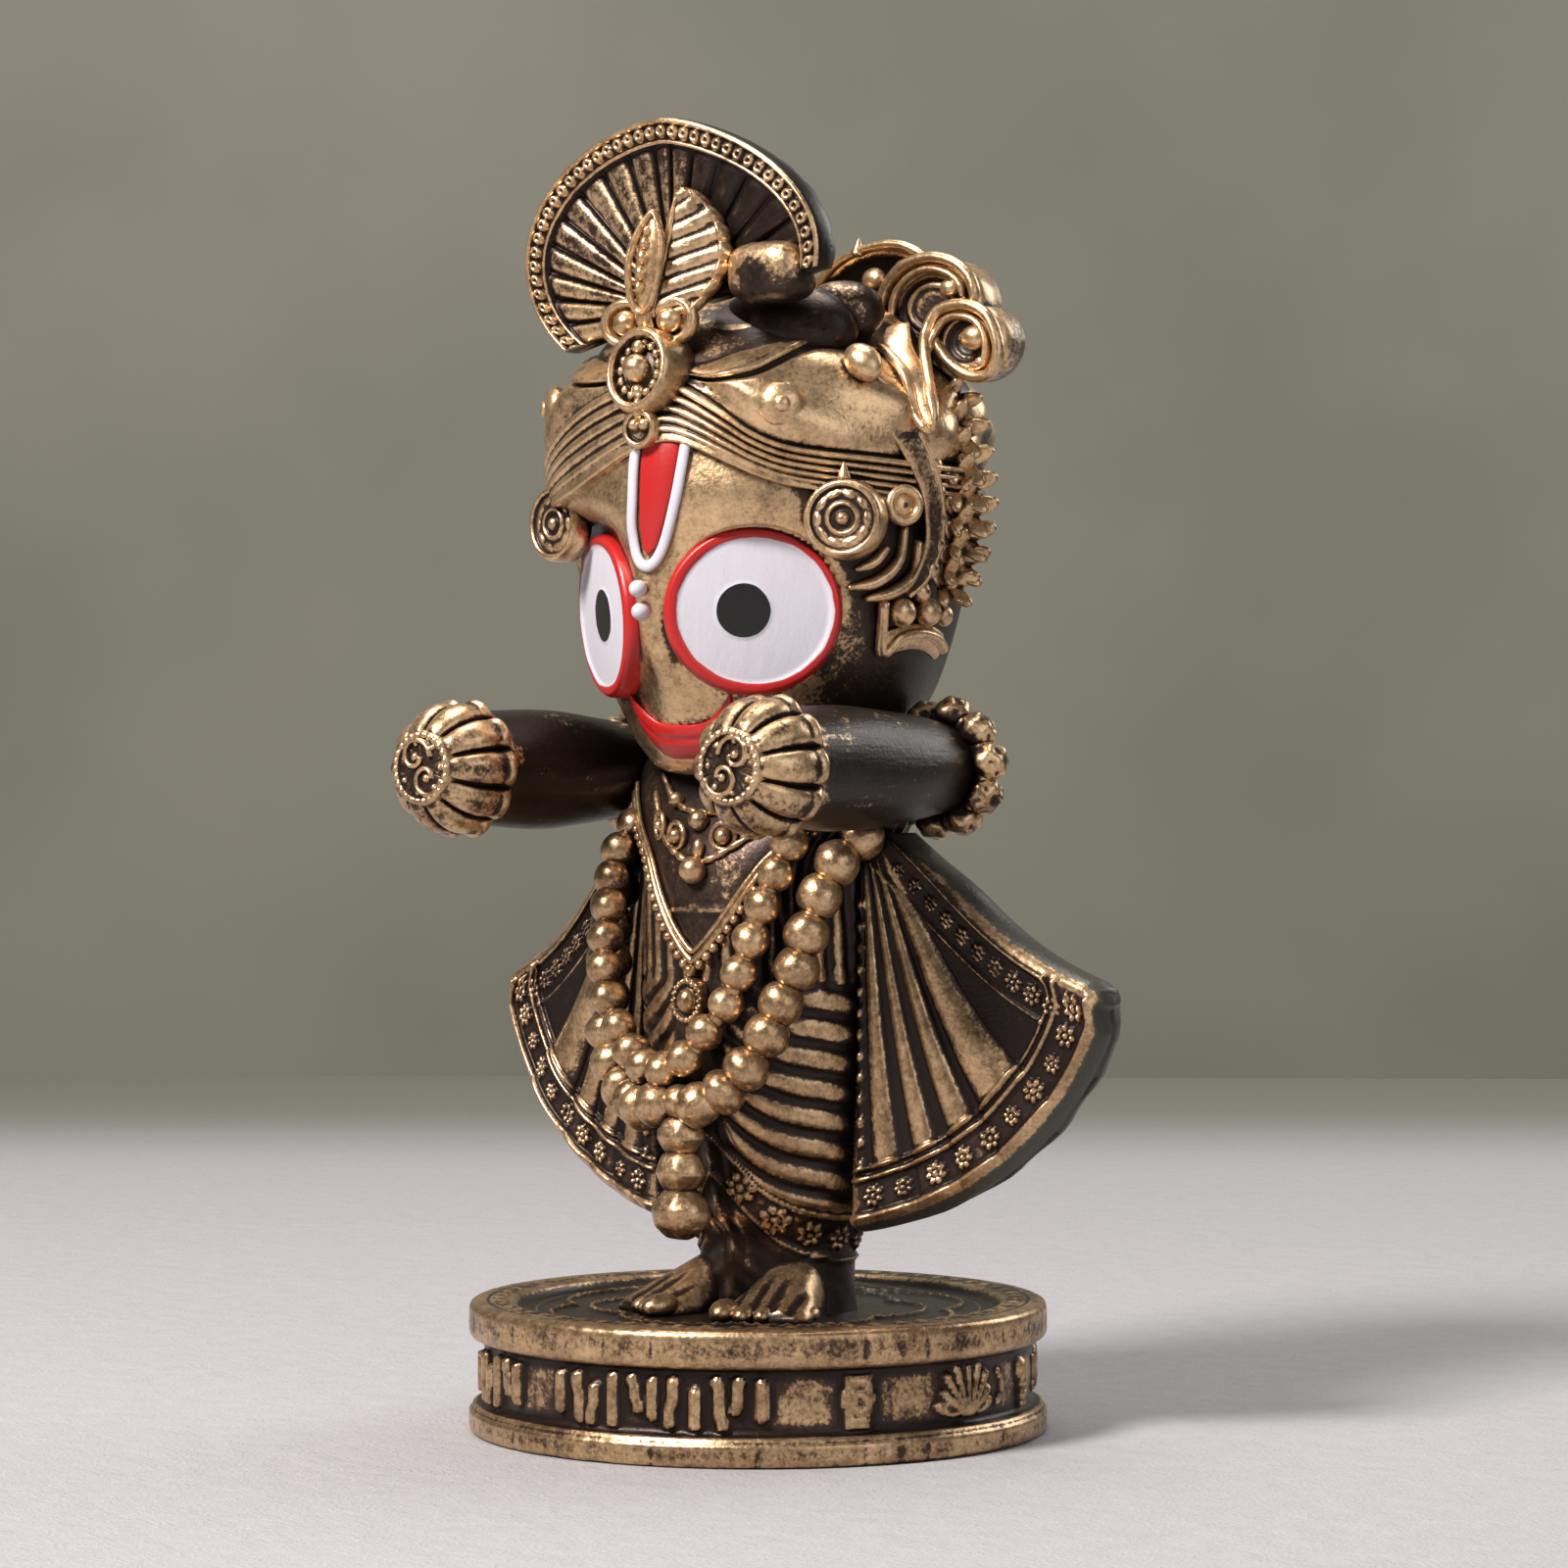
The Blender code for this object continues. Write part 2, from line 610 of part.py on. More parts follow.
def beaded_rope(name, line, radius, waist, sides=6):
    """A rope of beads set one against the next along a line: thick and thin rings in turn."""
    travelled = [0.0]
    for before, after in zip(line, line[1:]):
        travelled.append(travelled[-1] + (after - before).length)
    beads = max(round(travelled[-1] / (1.9 * radius)), 1)
    rings = []
    for k in range(4 * beads + 1):
        if k % 4 == 2:
            continue
        wanted = travelled[-1] * k / (4 * beads)
        i = min(sum(1 for value in travelled if value < wanted), len(line) - 1) or 1
        share = (wanted - travelled[i - 1]) / (travelled[i] - travelled[i - 1])
        middle = line[i - 1].lerp(line[i], share)
        ahead = (line[i] - line[i - 1]).normalized()
        across = ahead.cross(Vector((middle.x, middle.y - 1.5, 0.0)).normalized()).normalized()
        out = across.cross(ahead)
        reach = radius * waist if k % 4 == 0 else radius * 0.97
        ring = []
        for n in range(sides):
            turn = 2 * math.pi * (n + 0.5) / sides
            ring.append(middle + reach * (math.cos(turn) * across + math.sin(turn) * out))
        rings.append(ring)
    return loft(name, rings)


def garland_line(route, lift):
    """A smooth line over the robe through knots of angle and height, from one shoulder to the other."""
    table = [(n, *knot) for n, knot in enumerate(route)]
    half = []
    for k in range(61):
        share = (len(route) - 1) * k / 60
        half.append(robe_point(math.radians(eased(table, share, 1)), eased(table, share, 2), lift))
    return half + [Vector((-point.x, point.y, point.z)) for point in half[-2::-1]]


def chest_ornaments():
    """The two bead garlands, their tassel, the edge of the chest cloth and its pendant."""
    beaded_rope("outer_garland", garland_line(OUTER_STRING, 0.9), OUTER_BEAD, 0.62)
    beaded_rope("inner_garland", garland_line(INNER_STRING, 0.7), INNER_BEAD, 0.62)
    for height, radius in TASSEL:
        ball("tassel_bead", (0.0, TASSEL_Y, height), (radius,) * 3, 10, 6)
    chain = []
    for k in range(21):
        share = k / 20 * 2 - 1
        height = 36.6 + 13.0 * abs(share) ** 1.25
        chain.append(robe_point(math.radians(52.0 * share), height, 0.25))
    tube("chest_chain", chain, 0.5, 1)
    disc("pendant", robe_point(0.0, 34.4, 0.2), 0.0, (1.5, 1.9), 2.2, 12, 0.2)
    ball("pearl_drop", robe_point(0.0, 43.6, 0.3), (1.1, 1.1, 1.5), 8, 6)


def foot(side):
    """A bare foot turned out a little, with five toes."""
    turn = side * 16.0
    swing = Matrix.Rotation(math.radians(turn), 4, "Z")
    heel = Vector((side * 3.9, 0.5, 0.0))
    sections = []
    for y, half, height in (
        (4.0, 1.6, 1.6),
        (2.0, 2.4, 3.4),
        (-1.0, 2.6, 3.6),
        (-4.5, 3.2, 2.8),
        (-7.5, 3.9, 1.8),
        (-9.3, 3.7, 1.2),
    ):
        ring = []
        for n in range(10):
            angle = 2 * math.pi * n / 10
            point = Vector((half * math.cos(angle), y, height * max(math.sin(angle), -0.5)))
            ring.append(heel + swing @ point + Vector((0.0, 0.0, FLOOR_HEIGHT + 0.3)))
        sections.append(ring)
    loft("foot", sections)
    for n in range(5):
        across = -3.1 * side + 1.55 * n * side
        size = 1.15 if n == 0 else 0.85
        point = Vector((across, -9.9 + 0.22 * n * n, size * 0.75 + FLOOR_HEIGHT))
        ball("toe", heel + swing @ point, (size * 0.85, size * 1.3, size), 6, 4, turn)


def united(name):
    """Unites every shape in the scene into one closed solid."""
    body, *shapes = bpy.context.scene.collection.objects
    others = bpy.data.collections.new("shapes_to_unite")
    for shape in shapes:
        others.objects.link(shape)
    join = body.modifiers.new("united", "BOOLEAN")
    join.operation = "UNION"
    join.solver = "EXACT"
    join.operand_type = "COLLECTION"
    join.collection = others
    bpy.context.view_layer.update()
    evaluated = body.evaluated_get(bpy.context.evaluated_depsgraph_get())
    mesh = bpy.data.meshes.new_from_object(evaluated)
    for item in (body, *shapes):
        bpy.data.objects.remove(item)
    bpy.data.collections.remove(others)
    work = bmesh.new()
    work.from_mesh(mesh)
    bmesh.ops.remove_doubles(work, verts=work.verts, dist=WELD * MM)
    bmesh.ops.triangulate(work, faces=work.faces)
    triangles = len(work.faces)
    work.to_mesh(mesh)
    work.free()
    return lightened(name, mesh, triangles)


def lightened(name, mesh, triangles):
    """Drops the corners that change the shape least, until the solid is down to its triangle budget."""
    item = link(name + "_full", mesh)
    reduce = item.modifiers.new("lighter", "DECIMATE")
    reduce.ratio = min(TRIANGLE_BUDGET / triangles, 1.0)
    bpy.context.view_layer.update()
    evaluated = item.evaluated_get(bpy.context.evaluated_depsgraph_get())
    lighter = bpy.data.meshes.new_from_object(evaluated)
    bpy.data.objects.remove(item)
    lighter.name = name
    return bpy.data.objects.new(name, lighter)


def bronze():
    """Antique bronze paint: a brown ground under rubbed gold."""
    material = bpy.data.materials.new("antique_bronze")
    material.use_nodes = True
    shader = material.node_tree.nodes["Principled BSDF"]
    shader.inputs["Base Color"].default_value = (0.22, 0.14, 0.07, 1.0)
    shader.inputs["Roughness"].default_value = 0.42
    shader.inputs["Metallic"].default_value = 0.75
    return material


def main():
    for item in list(bpy.data.objects):
        bpy.data.objects.remove(item)
    plinth()
    robe()
    head()
    fan_crest()
    for side in (-1, 1):
        wing(side)
        arm(side)
        foot(side)
    face_and_ears()
    front_jewel()
    side_ornaments()
    chest_ornaments()
    figure = united(FIGURE_NAME)
    group = bpy.data.collections.new(FIGURE_NAME)
    bpy.context.scene.collection.children.link(group)
    group.objects.link(figure)
    figure.data.materials.clear()
    figure.data.materials.append(bronze())
    figure.data.shade_smooth()
    figure.data.set_sharp_from_angle(angle=math.radians(35.0))


main()
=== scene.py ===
"""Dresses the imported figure: a small cast votive figure in rubbed antique bronze with painted eyes.

Every piece is worked out with numpy as closed grids of points in millimetres and becomes one mesh in metres.
The figure faces -Y, its left side is +X and the origin is the middle of the plinth's underside.
"""

import math

import bpy
import numpy as np
from bpy.props import FloatProperty, FloatVectorProperty, PointerProperty
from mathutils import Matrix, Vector
from mathutils.bvhtree import BVHTree


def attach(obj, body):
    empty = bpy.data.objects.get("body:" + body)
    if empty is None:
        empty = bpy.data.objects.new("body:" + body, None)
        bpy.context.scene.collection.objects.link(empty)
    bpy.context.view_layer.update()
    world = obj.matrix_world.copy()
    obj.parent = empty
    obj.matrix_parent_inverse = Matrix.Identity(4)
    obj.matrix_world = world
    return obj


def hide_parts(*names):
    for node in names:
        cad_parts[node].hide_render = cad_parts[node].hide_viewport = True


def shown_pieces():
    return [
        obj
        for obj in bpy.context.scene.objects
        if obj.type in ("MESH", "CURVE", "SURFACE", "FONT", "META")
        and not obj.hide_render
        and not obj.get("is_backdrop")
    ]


bl_info = {
    "name": "Cast Votive Figure",
    "version": (1, 0, 0),
    "blender": (4, 5, 0),
    "location": "3D View > Sidebar > Figure",
    "description": "Builds a small cast figure with round painted eyes on its round plinth",
    "category": "Add Mesh",
}

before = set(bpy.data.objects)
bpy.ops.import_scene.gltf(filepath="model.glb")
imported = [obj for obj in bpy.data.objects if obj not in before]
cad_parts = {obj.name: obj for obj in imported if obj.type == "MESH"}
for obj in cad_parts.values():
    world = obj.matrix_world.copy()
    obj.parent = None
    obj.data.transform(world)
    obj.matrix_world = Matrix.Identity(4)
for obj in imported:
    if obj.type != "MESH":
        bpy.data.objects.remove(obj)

MM = 0.001
NODE = "jagannath_figure"
TURN = 2 * math.pi

# Body and wrapped robe: height, half width, half depth and middle in Y
ROBE_SECTIONS = (
    (8.6, 7.0, 5.4, 2.2),
    (12.0, 6.4, 5.4, 2.5),
    (15.2, 6.6, 6.0, 2.6),
    (17.0, 7.9, 7.2, 2.4),
    (20.5, 8.6, 8.0, 2.1),
    (25.0, 9.3, 8.8, 1.8),
    (31.0, 9.7, 9.3, 1.5),
    (38.0, 10.0, 9.4, 1.5),
    (44.0, 10.2, 9.0, 1.5),
    (47.5, 12.4, 8.0, 2.0),
    (51.5, 12.8, 6.6, 2.6),
    (54.5, 9.0, 5.4, 2.6),
)

# Head: height, radius and middle in Y
HEAD_PROFILE = (
    (50.2, 5.6, 1.6),
    (51.3, 8.6, 1.7),
    (53.0, 10.2, 1.8),
    (55.5, 11.6, 1.8),
    (58.0, 12.9, 1.8),
    (61.0, 14.1, 1.7),
    (64.0, 15.0, 1.4),
    (68.0, 15.8, 1.1),
    (72.0, 16.2, 1.0),
    (76.0, 16.0, 1.0),
    (80.0, 15.0, 1.3),
    (84.0, 12.9, 1.8),
    (87.0, 9.6, 2.0),
    (88.8, 5.0, 2.2),
    (89.6, 0.9, 2.2),
)

# Turban: angle from the front in degrees, then the heights of the band's start, the roll's start and its end
TURBAN_EDGES = (
    (-180.0, 71.0, 74.8, 82.4),
    (-90.0, 71.0, 74.5, 82.8),
    (-66.0, 71.2, 74.8, 83.4),
    (-50.0, 71.6, 75.5, 83.8),
    (-38.0, 71.8, 76.9, 83.4),
    (-22.7, 72.5, 79.0, 82.6),
    (-12.0, 73.6, 80.1, 81.8),
    (0.0, 75.1, 80.9, 81.8),
    (6.0, 75.6, 80.8, 81.8),
    (10.0, 75.8, 80.6, 81.8),
    (14.0, 75.7, 80.2, 81.8),
    (20.0, 75.1, 79.3, 82.0),
    (27.0, 74.2, 78.0, 82.7),
    (34.0, 73.3, 76.6, 83.2),
    (42.0, 72.5, 75.6, 83.7),
    (52.0, 72.0, 75.1, 83.8),
    (66.0, 71.5, 74.8, 83.4),
    (90.0, 71.0, 74.5, 82.8),
    (180.0, 71.0, 74.8, 82.4),
)

# Plinth outline as radius and height, from the middle of its floor over the ring and down its side
PLINTH_OUTLINE = (
    (0.05, 9.2),
    (17.6, 9.2),
    (18.4, 9.25),
    (18.75, 9.6),
    (19.0, 10.0),
    (19.5, 10.12),
    (21.9, 10.12),
    (22.35, 10.0),
    (22.5, 9.75),
    (22.55, 9.3),
    (22.55, 7.8),
    (22.45, 7.5),
    (22.1, 7.25),
    (21.5, 7.1),
    (21.35, 6.7),
    (21.35, 2.7),
    (21.5, 2.35),
    (22.3, 2.15),
    (22.5, 1.9),
    (22.55, 1.5),
    (22.55, 0.3),
    (22.4, 0.08),
    (21.6, 0.0),
    (0.05, 0.0),
)

# Fan crest
FAN_HUB_PLACE = (0.0, 86.4)
FAN_MIDDLE = (0.0, 90.3)
FAN_WIDE, FAN_TALL = 14.3, 10.5
FAN_POINT, FAN_POINT_LEFT = 1.15, 1.4
FAN_RIM = 1.9
FAN_FIRST, FAN_LAST = -9.0, 218.0
FAN_RIBS = 17
FAN_FRONT = -10.6
FAN_LEAN = 0.1
FAN_THICK = 1.5

# Wings of the robe
WING_HUB = (10.5, 48.0)
WING_INNER, WING_OUTER = -91.5, -38.2
WING_START = 2.5
WING_HEM_INNER, WING_HEM_OUTER = 31.3, 23.6
WING_BEND = 4.6
WING_THICK = 4.0
WING_SWEEP = 0.24
WING_Y = 1.3
# Share across the wing, half width and height of each pleat
WING_PLEATS = (
    (0.12, 0.058, 1.05),
    (0.255, 0.05, 0.9),
    (0.40, 0.06, 1.05),
    (0.59, 0.11, 1.3),
)

# Arms
ARM_X, ARM_Z = 14.9, 51.4
ARM_PROFILE = ((7.2, 1.0), (6.6, 2.0), (5.6, 2.8), (3.0, 3.4), (-2.0, 4.2), (-8.0, 4.6), (-17.3, 4.55))
ARMLET_Y, ARMLET_RADIUS = 4.2, 4.25

# Garland beads from the left shoulder to the right one
OUTER_BEADS = (
    (11.2, -1.7, 46.2), (10.4, -3.8, 44.2), (9.7, -5.0, 41.6), (9.2, -5.8, 38.9),
     (8.7, -6.4, 36.2), (7.9, -7.2, 33.5),
    (6.9, -8.0, 31.1), (5.7, -8.8, 28.7), (4.0, -9.5, 26.8), (2.0, -10.0, 25.8), (-2.0, -10.0, 25.6),
    (-4.1, -9.2, 25.4), (-6.2, -7.6, 25.7), (-8.2, -6.6, 26.6), (-9.9, -6.0, 28.4), (-10.8, -5.4, 30.8),
    (-11.2, -4.9, 33.5), (-11.4, -4.4, 36.3), (-11.5, -3.9, 39.1), (-11.5, -3.3, 41.9), (-11.5, -2.4, 44.5),
    (-11.4, -0.8, 46.6),
)
INNER_BEADS = (
    (8.7, -5.3, 48.0), (7.9, -6.3, 45.7), (7.1, -7.1, 43.4), (6.3, -7.7, 40.9),
     (5.6, -8.2, 38.4), (4.9, -8.6, 35.9),
    (3.9, -9.0, 33.4), (2.3, -9.6, 31.2), (0.7, -10.0, 29.2), (-1.5, -9.9, 28.2), (-3.8, -9.4, 28.5),
    (-5.6, -8.9, 29.6), (-7.2, -8.5, 31.4), (-8.4, -8.2, 33.5), (-9.0, -7.9, 35.9), (-9.3, -7.4, 38.3),
    (-9.5, -6.8, 40.6), (-9.8, -6.1, 42.9), (-9.9, -4.9, 45.0), (-9.8, -3.4, 47.0),
)
TASSEL = ((23.4, 1.75), (20.6, 1.85), (17.4, 2.15))
TASSEL_Y = -9.8

# Painted eyes
EYE_TURN, EYE_LEAN = 33.0, 0.08
# Facing, reach and where the flattened seat begins and ends, of the right and the left eye
EYE_PLACES = {-1: (34.5, 13.4, 0.98, 1.7), 1: (39.7, 14.55, 0.93, 1.0)}
EYE_HEIGHT, EYE_WIDE, EYE_TALL, PUPIL_SHIFT = 63.2, 6.75, 6.35, -0.75

# Shares of the gold's channels where it is thin and where it is bright
DULL, PALE = (0.52, 0.46, 0.42), (1.5, 1.5, 1.5)

# Lights: place behind the camera's side, to its right and up in metres, size, power and colour
LIGHTS = {
    "key_light": ((0.34, -0.36, 0.5), 0.2, 8.6, (1.0, 0.965, 0.93)),
    "fill_light": ((0.5, 0.35, 0.25), 0.5, 0.7, (0.95, 0.97, 1.0)),
    "top_light": ((-0.1, 0.0, 0.6), 0.35, 2.4, (1.0, 0.98, 0.96)),
    "edge_light": ((-0.28, 0.42, 0.3), 0.3, 0.9, (0.95, 0.98, 1.0)),
}
ROOM_COLOUR, ROOM_STRENGTH = (0.78, 0.78, 0.76, 1.0), 0.15
CAMERA_LENS, CAMERA_SHIFT, CAMERA_ASIDE, CAMERA_HEIGHT = 102.825, 0.00525, 0.00202, 0.04957
# Where the floor turns into the wall's colour, and where the wall stands, behind the figure
FADE, WALL_BEHIND = (0.23, 0.36), 0.43

# How near a neighbour counts when worn edges and hollows are looked for, in millimetres
FINE_REACH, BROAD_REACH = 0.3, 0.9
CELL = 0.4


# ---- Working with tables and grids ----


def eased(table, at, column=1):
    """Reads a table of knots along a smooth curve: cubics whose slopes come from the neighbouring knots."""
    knots = np.asarray(table, float)
    place, value = knots[:, 0], knots[:, column]
    at = np.clip(at, place[0], place[-1])
    i = np.clip(np.searchsorted(place, at) - 1, 0, len(place) - 2)
    before, after = np.maximum(i - 1, 0), np.minimum(i + 2, len(place) - 1)
    step = place[i + 1] - place[i]
    share = (at - place[i]) / step
    slope_low = (value[i + 1] - value[before]) / (place[i + 1] - place[before]) * step
    slope_high = (value[after] - value[i]) / (place[after] - place[i]) * step
    square, cube = share**2, share**3
    return (
        (2 * cube - 3 * square + 1) * value[i]
        + (cube - 2 * square + share) * slope_low
        + (3 * square - 2 * cube) * value[i + 1]
        + (cube - square) * slope_high
    )


def smooth(value, low, high):
    """Rises from 0 at low to 1 at high along the curve 3t^2 - 2t^3."""
    share = np.clip((value - low) / (high - low), 0.0, 1.0)
    return share * share * (3 - 2 * share)


def ridge(distance, half):
    """A rounded ridge: the height of a half circle over a line, 1 at the line and 0 from half a width away."""
    return np.sqrt(np.clip(1 - (distance / half) ** 2, 0.0, 1.0))


def soft_ridge(distance, half):
    """A soft ridge: the square of a cosine, 1 at the line and 0 from half a width away."""
    return np.cos(np.clip(np.abs(distance) / half, 0.0, 1.0) * math.pi / 2) ** 2


def plateau(distance, half, edge=0.12):
    """A flat raised shape with steep sides: 1 inside half a width, 0 outside, eased over its edge."""
    return 1 - smooth(distance, half - edge / 2, half + edge / 2)


def to_strokes(x, y, strokes):
    """Distance from each point to the nearest of some straight strokes (x0, y0, x1, y1)."""
    near = np.full(np.broadcast(x, y).shape, 1e3)
    for x0, y0, x1, y1 in strokes:
        dx, dy = x1 - x0, y1 - y0
        share = np.clip(((x - x0) * dx + (y - y0) * dy) / (dx * dx + dy * dy), 0.0, 1.0)
        near = np.minimum(near, np.hypot(x - x0 - share * dx, y - y0 - share * dy))
    return near


def rosette(dx, dy, radius, petals=7):
    """A flower: a round middle and a ring of round petals, each a half circle over its own middle."""
    angle = np.arctan2(dy, dx)
    reach = np.hypot(dx, dy) / radius
    swing = (angle * petals / TURN) % 1.0 - 0.5
    across = swing * TURN / petals * reach
    petal = ridge(np.hypot((reach - 0.66) / 1.25, across), 0.27)
    return np.maximum(petal, ridge(reach, 0.3))


def steps(low, high, count):
    """Evenly spaced numbers from low to high."""
    return np.linspace(low, high, count)


def round_steps(count):
    """Angles once round, without the last one that would meet the first."""
    return np.linspace(0.0, TURN, count, endpoint=False)


def placed(x, y, z):
    """Stacks three coordinates, of shapes that go together, into one grid of points."""
    return np.stack(np.broadcast_arrays(x, y, z), -1).astype(float)


def spread(values, cells, axis, wraps):
    """Mean of the neighbours within some cells along one axis, from the difference of running sums."""
    reach = int(np.clip(round(cells), 1, values.shape[axis] // 2 - 1)) if values.shape[axis] > 5 else 0
    if reach < 1:
        return values
    pad = [(0, 0)] * values.ndim
    pad[axis] = (reach + 1, reach)
    if wraps:
        wide = np.pad(values, pad, mode="wrap")
    else:
        wide = np.pad(values, pad, mode="reflect", reflect_type="odd")
    total = np.cumsum(wide, axis=axis)
    count = values.shape[axis]
    high = np.take(total, np.arange(2 * reach + 1, 2 * reach + 1 + count), axis)
    low = np.take(total, np.arange(count), axis)
    return (high - low) / (2 * reach + 1)


def outward(grid, loop=False):
    """Unit normals of a grid of rings: the cross product of its two directions, turned to point outwards."""
    around = np.roll(grid, -1, 1) - np.roll(grid, 1, 1)
    along = np.roll(grid, -1, 0) - np.roll(grid, 1, 0) if loop else np.gradient(grid, axis=0)
    normal = np.cross(around, along)
    size = np.linalg.norm(normal, axis=-1, keepdims=True)
    normal = normal / np.maximum(size, 1e-9)
    middle = grid.mean(1, keepdims=True)
    if np.sum((grid - middle) * normal * size) < 0:
        normal = -normal
    return normal


def worn(grid, normal, loop):
    """How far each point stands above its neighbours' mean along the normal, at a fine and a broad reach."""
    along = np.linalg.norm(np.diff(grid, axis=0), axis=-1).mean() + 1e-6
    around = np.linalg.norm(grid - np.roll(grid, 1, 1), axis=-1).mean() + 1e-6
    value = 0.0
    for reach, full, weight in ((FINE_REACH, 0.05, 0.5), (BROAD_REACH, 0.26, 0.6)):
        mean = grid
        for _ in range(2):
            mean = spread(mean, reach / along, 0, loop)
            mean = spread(mean, reach / around, 1, True)
        value = value + weight * np.clip(np.sum((grid - mean) * normal, -1) / full, -1.0, 1.0)
    return value


class Form:
    """Gathers closed grids of points for one piece and makes its mesh."""

    def __init__(self):
        self.points, self.quads, self.fans, self.worn, self.uv, self.total = [], [], [], [], [], 0

    def add(self, grid, relief=None, gilt_and_painted_light=0.0, loop=False, uv=None, olive=0.0):
        """Adds a grid whose rows are rings, raised along its normals by relief. Both ends are closed unless it
        is a loop. gilt says how much more, or less, gold it carries than its shape gives it, on a few pieces
        with painted light on their tops added, and olive, kept as the UV map's first number, how far its dark
        metal turns olive."""
        normal = outward(grid, loop)
        if relief is not None:
            grid = grid + normal * relief[..., None]
            normal = outward(grid, loop)
        rows, around = grid.shape[:2]
        value = worn(grid, normal, loop) + gilt_and_painted_light
        index = np.arange(rows * around).reshape(rows, around)
        lower = index if loop else index[:-1]
        upper = np.roll(index, -1, 0) if loop else index[1:]
        quads = np.stack((lower, np.roll(lower, -1, 1), np.roll(upper, -1, 1), upper), -1).reshape(-1, 4)
        points = grid.reshape(-1, 3)
        value = np.broadcast_to(value, (rows, around)).reshape(-1)
        if uv is None:
            uv = np.stack((np.broadcast_to(olive, (rows, around)), np.zeros((rows, around))), -1)
        uv = uv.reshape(-1, 2)
        fans = np.zeros((0, 3), int)
        if not loop:
            points = np.vstack((points, grid[0].mean(0), grid[-1].mean(0)))
            value = np.append(value, (value[:around].mean(), value[-around:].mean()))
            uv = np.vstack((uv, uv[:around].mean(0), uv[-around:].mean(0)))
            first, last = rows * around, rows * around + 1
            fans = np.vstack(
                (
                    np.stack((np.roll(index[0], -1), index[0], np.full(around, first)), -1),
                    np.stack((index[-1], np.roll(index[-1], -1), np.full(around, last)), -1),
                )
            )
        a, b, c, d = (points[quads[:, k]] for k in range(4))
        volume = np.sum(a * np.cross(b, c)) + np.sum(a * np.cross(c, d))
        if len(fans):
            a, b, c = (points[fans[:, k]] for k in range(3))
            volume += np.sum(a * np.cross(b, c))
        if volume < 0:
            quads, fans = quads[:, ::-1], fans[:, ::-1]
        self.points.append(points)
        self.worn.append(value)
        self.uv.append(uv)
        self.quads.append(quads + self.total)
        self.fans.append(fans + self.total)
        self.total += len(points)

    def take(self, other, flip=1):
        """Adds every grid of another form again, mirrored in X where flip is -1."""
        for points, value, uv, quads, fans in zip(other.points, other.worn, other.uv, *other.apart()):
            self.points.append(points * (flip, 1, 1))
            self.worn.append(value)
            self.uv.append(uv)
            self.quads.append(quads[:, ::flip] + self.total)
            self.fans.append(fans[:, ::flip] + self.total)
            self.total += len(points)

    def apart(self):
        """The faces of each grid, numbered from its own first point."""
        starts = np.cumsum([0] + [len(points) for points in self.points[:-1]])
        return (
            [faces - start for faces, start in zip(self.quads, starts)],
            [faces - start for faces, start in zip(self.fans, starts)],
        )

    def piece(self, name, material):
        """Makes the mesh in metres, with its attributes, as a piece that rides on the frame's node."""
        points = np.vstack(self.points) * MM
        quads, fans = np.vstack(self.quads), np.vstack(self.fans)
        mesh = bpy.data.meshes.new(name)
        corners = np.concatenate((quads.ravel(), fans.ravel())).astype(np.int32)
        starts = np.concatenate((np.arange(len(quads)) * 4, len(quads) * 4 + np.arange(len(fans)) * 3))
        mesh.vertices.add(len(points))
        mesh.vertices.foreach_set("co", points.astype(np.float32).ravel())
        mesh.loops.add(len(corners))
        mesh.loops.foreach_set("vertex_index", corners)
        mesh.polygons.add(len(starts))
        mesh.polygons.foreach_set("loop_start", starts.astype(np.int32))
        mesh.update(calc_edges=True)
        mesh.validate()
        mesh.shade_smooth()
        mesh.uv_layers.new(name="UVMap")
        mesh.uv_layers[0].data.foreach_set("uv", np.vstack(self.uv)[corners].astype(np.float32).ravel())
        for key, value in (("gilt_and_painted_light", np.concatenate(self.worn)), ("hollow", np.zeros(len(points)))):
            layer = mesh.attributes.new(key, "FLOAT", "POINT")
            layer.data.foreach_set("value", value.astype(np.float32))
        item = bpy.data.objects.new(name, mesh)
        bpy.context.scene.collection.objects.link(item)
        mesh.materials.append(material)
        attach(item, "root")
        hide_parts(NODE)
        return item


# ---- Shapes that many pieces use ----


def rod(path, radius, sides=10, flat=1.0, up=(0.0, -1.0, 0.0), ends=True):
    """A rod along a path: about each point, across * r cos t + up * flat * r sin t, with across at right angles
    to the path and to up."""
    path = np.asarray(path, float)
    ahead = np.gradient(path, axis=0)
    ahead /= np.linalg.norm(ahead, axis=1, keepdims=True) + 1e-9
    up = np.broadcast_to(np.asarray(up, float), path.shape)
    across = np.cross(ahead, up)
    across /= np.linalg.norm(across, axis=1, keepdims=True) + 1e-9
    up = np.cross(across, ahead)
    radius = np.broadcast_to(np.asarray(radius, float), len(path)).copy()
    turn = round_steps(sides)[None, :, None]
    grid = path[:, None] + radius[:, None, None] * (
        np.cos(turn) * across[:, None] + flat * np.sin(turn) * up[:, None]
    )
    if ends:
        caps = np.array((0.35, 0.75))
        low = path[0] - ahead[0] * radius[0] * 0.5
        high = path[-1] + ahead[-1] * radius[-1] * 0.5
        start = [low + (path[0] - low) * s + (grid[0] - path[0]) * s for s in caps]
        finish = [high + (path[-1] - high) * s + (grid[-1] - path[-1]) * s for s in caps[::-1]]
        grid = np.concatenate((start, grid, finish))
    return grid


def hoop(ring, radial, thick, across, sides=12):
    """A round rod closed on itself: about each point of a ring, radial * r cos t + across * r sin t."""
    turn = round_steps(sides)[None, :, None]
    return ring[:, None] + thick * (np.cos(turn) * radial[:, None] + np.sin(turn) * np.asarray(across, float))


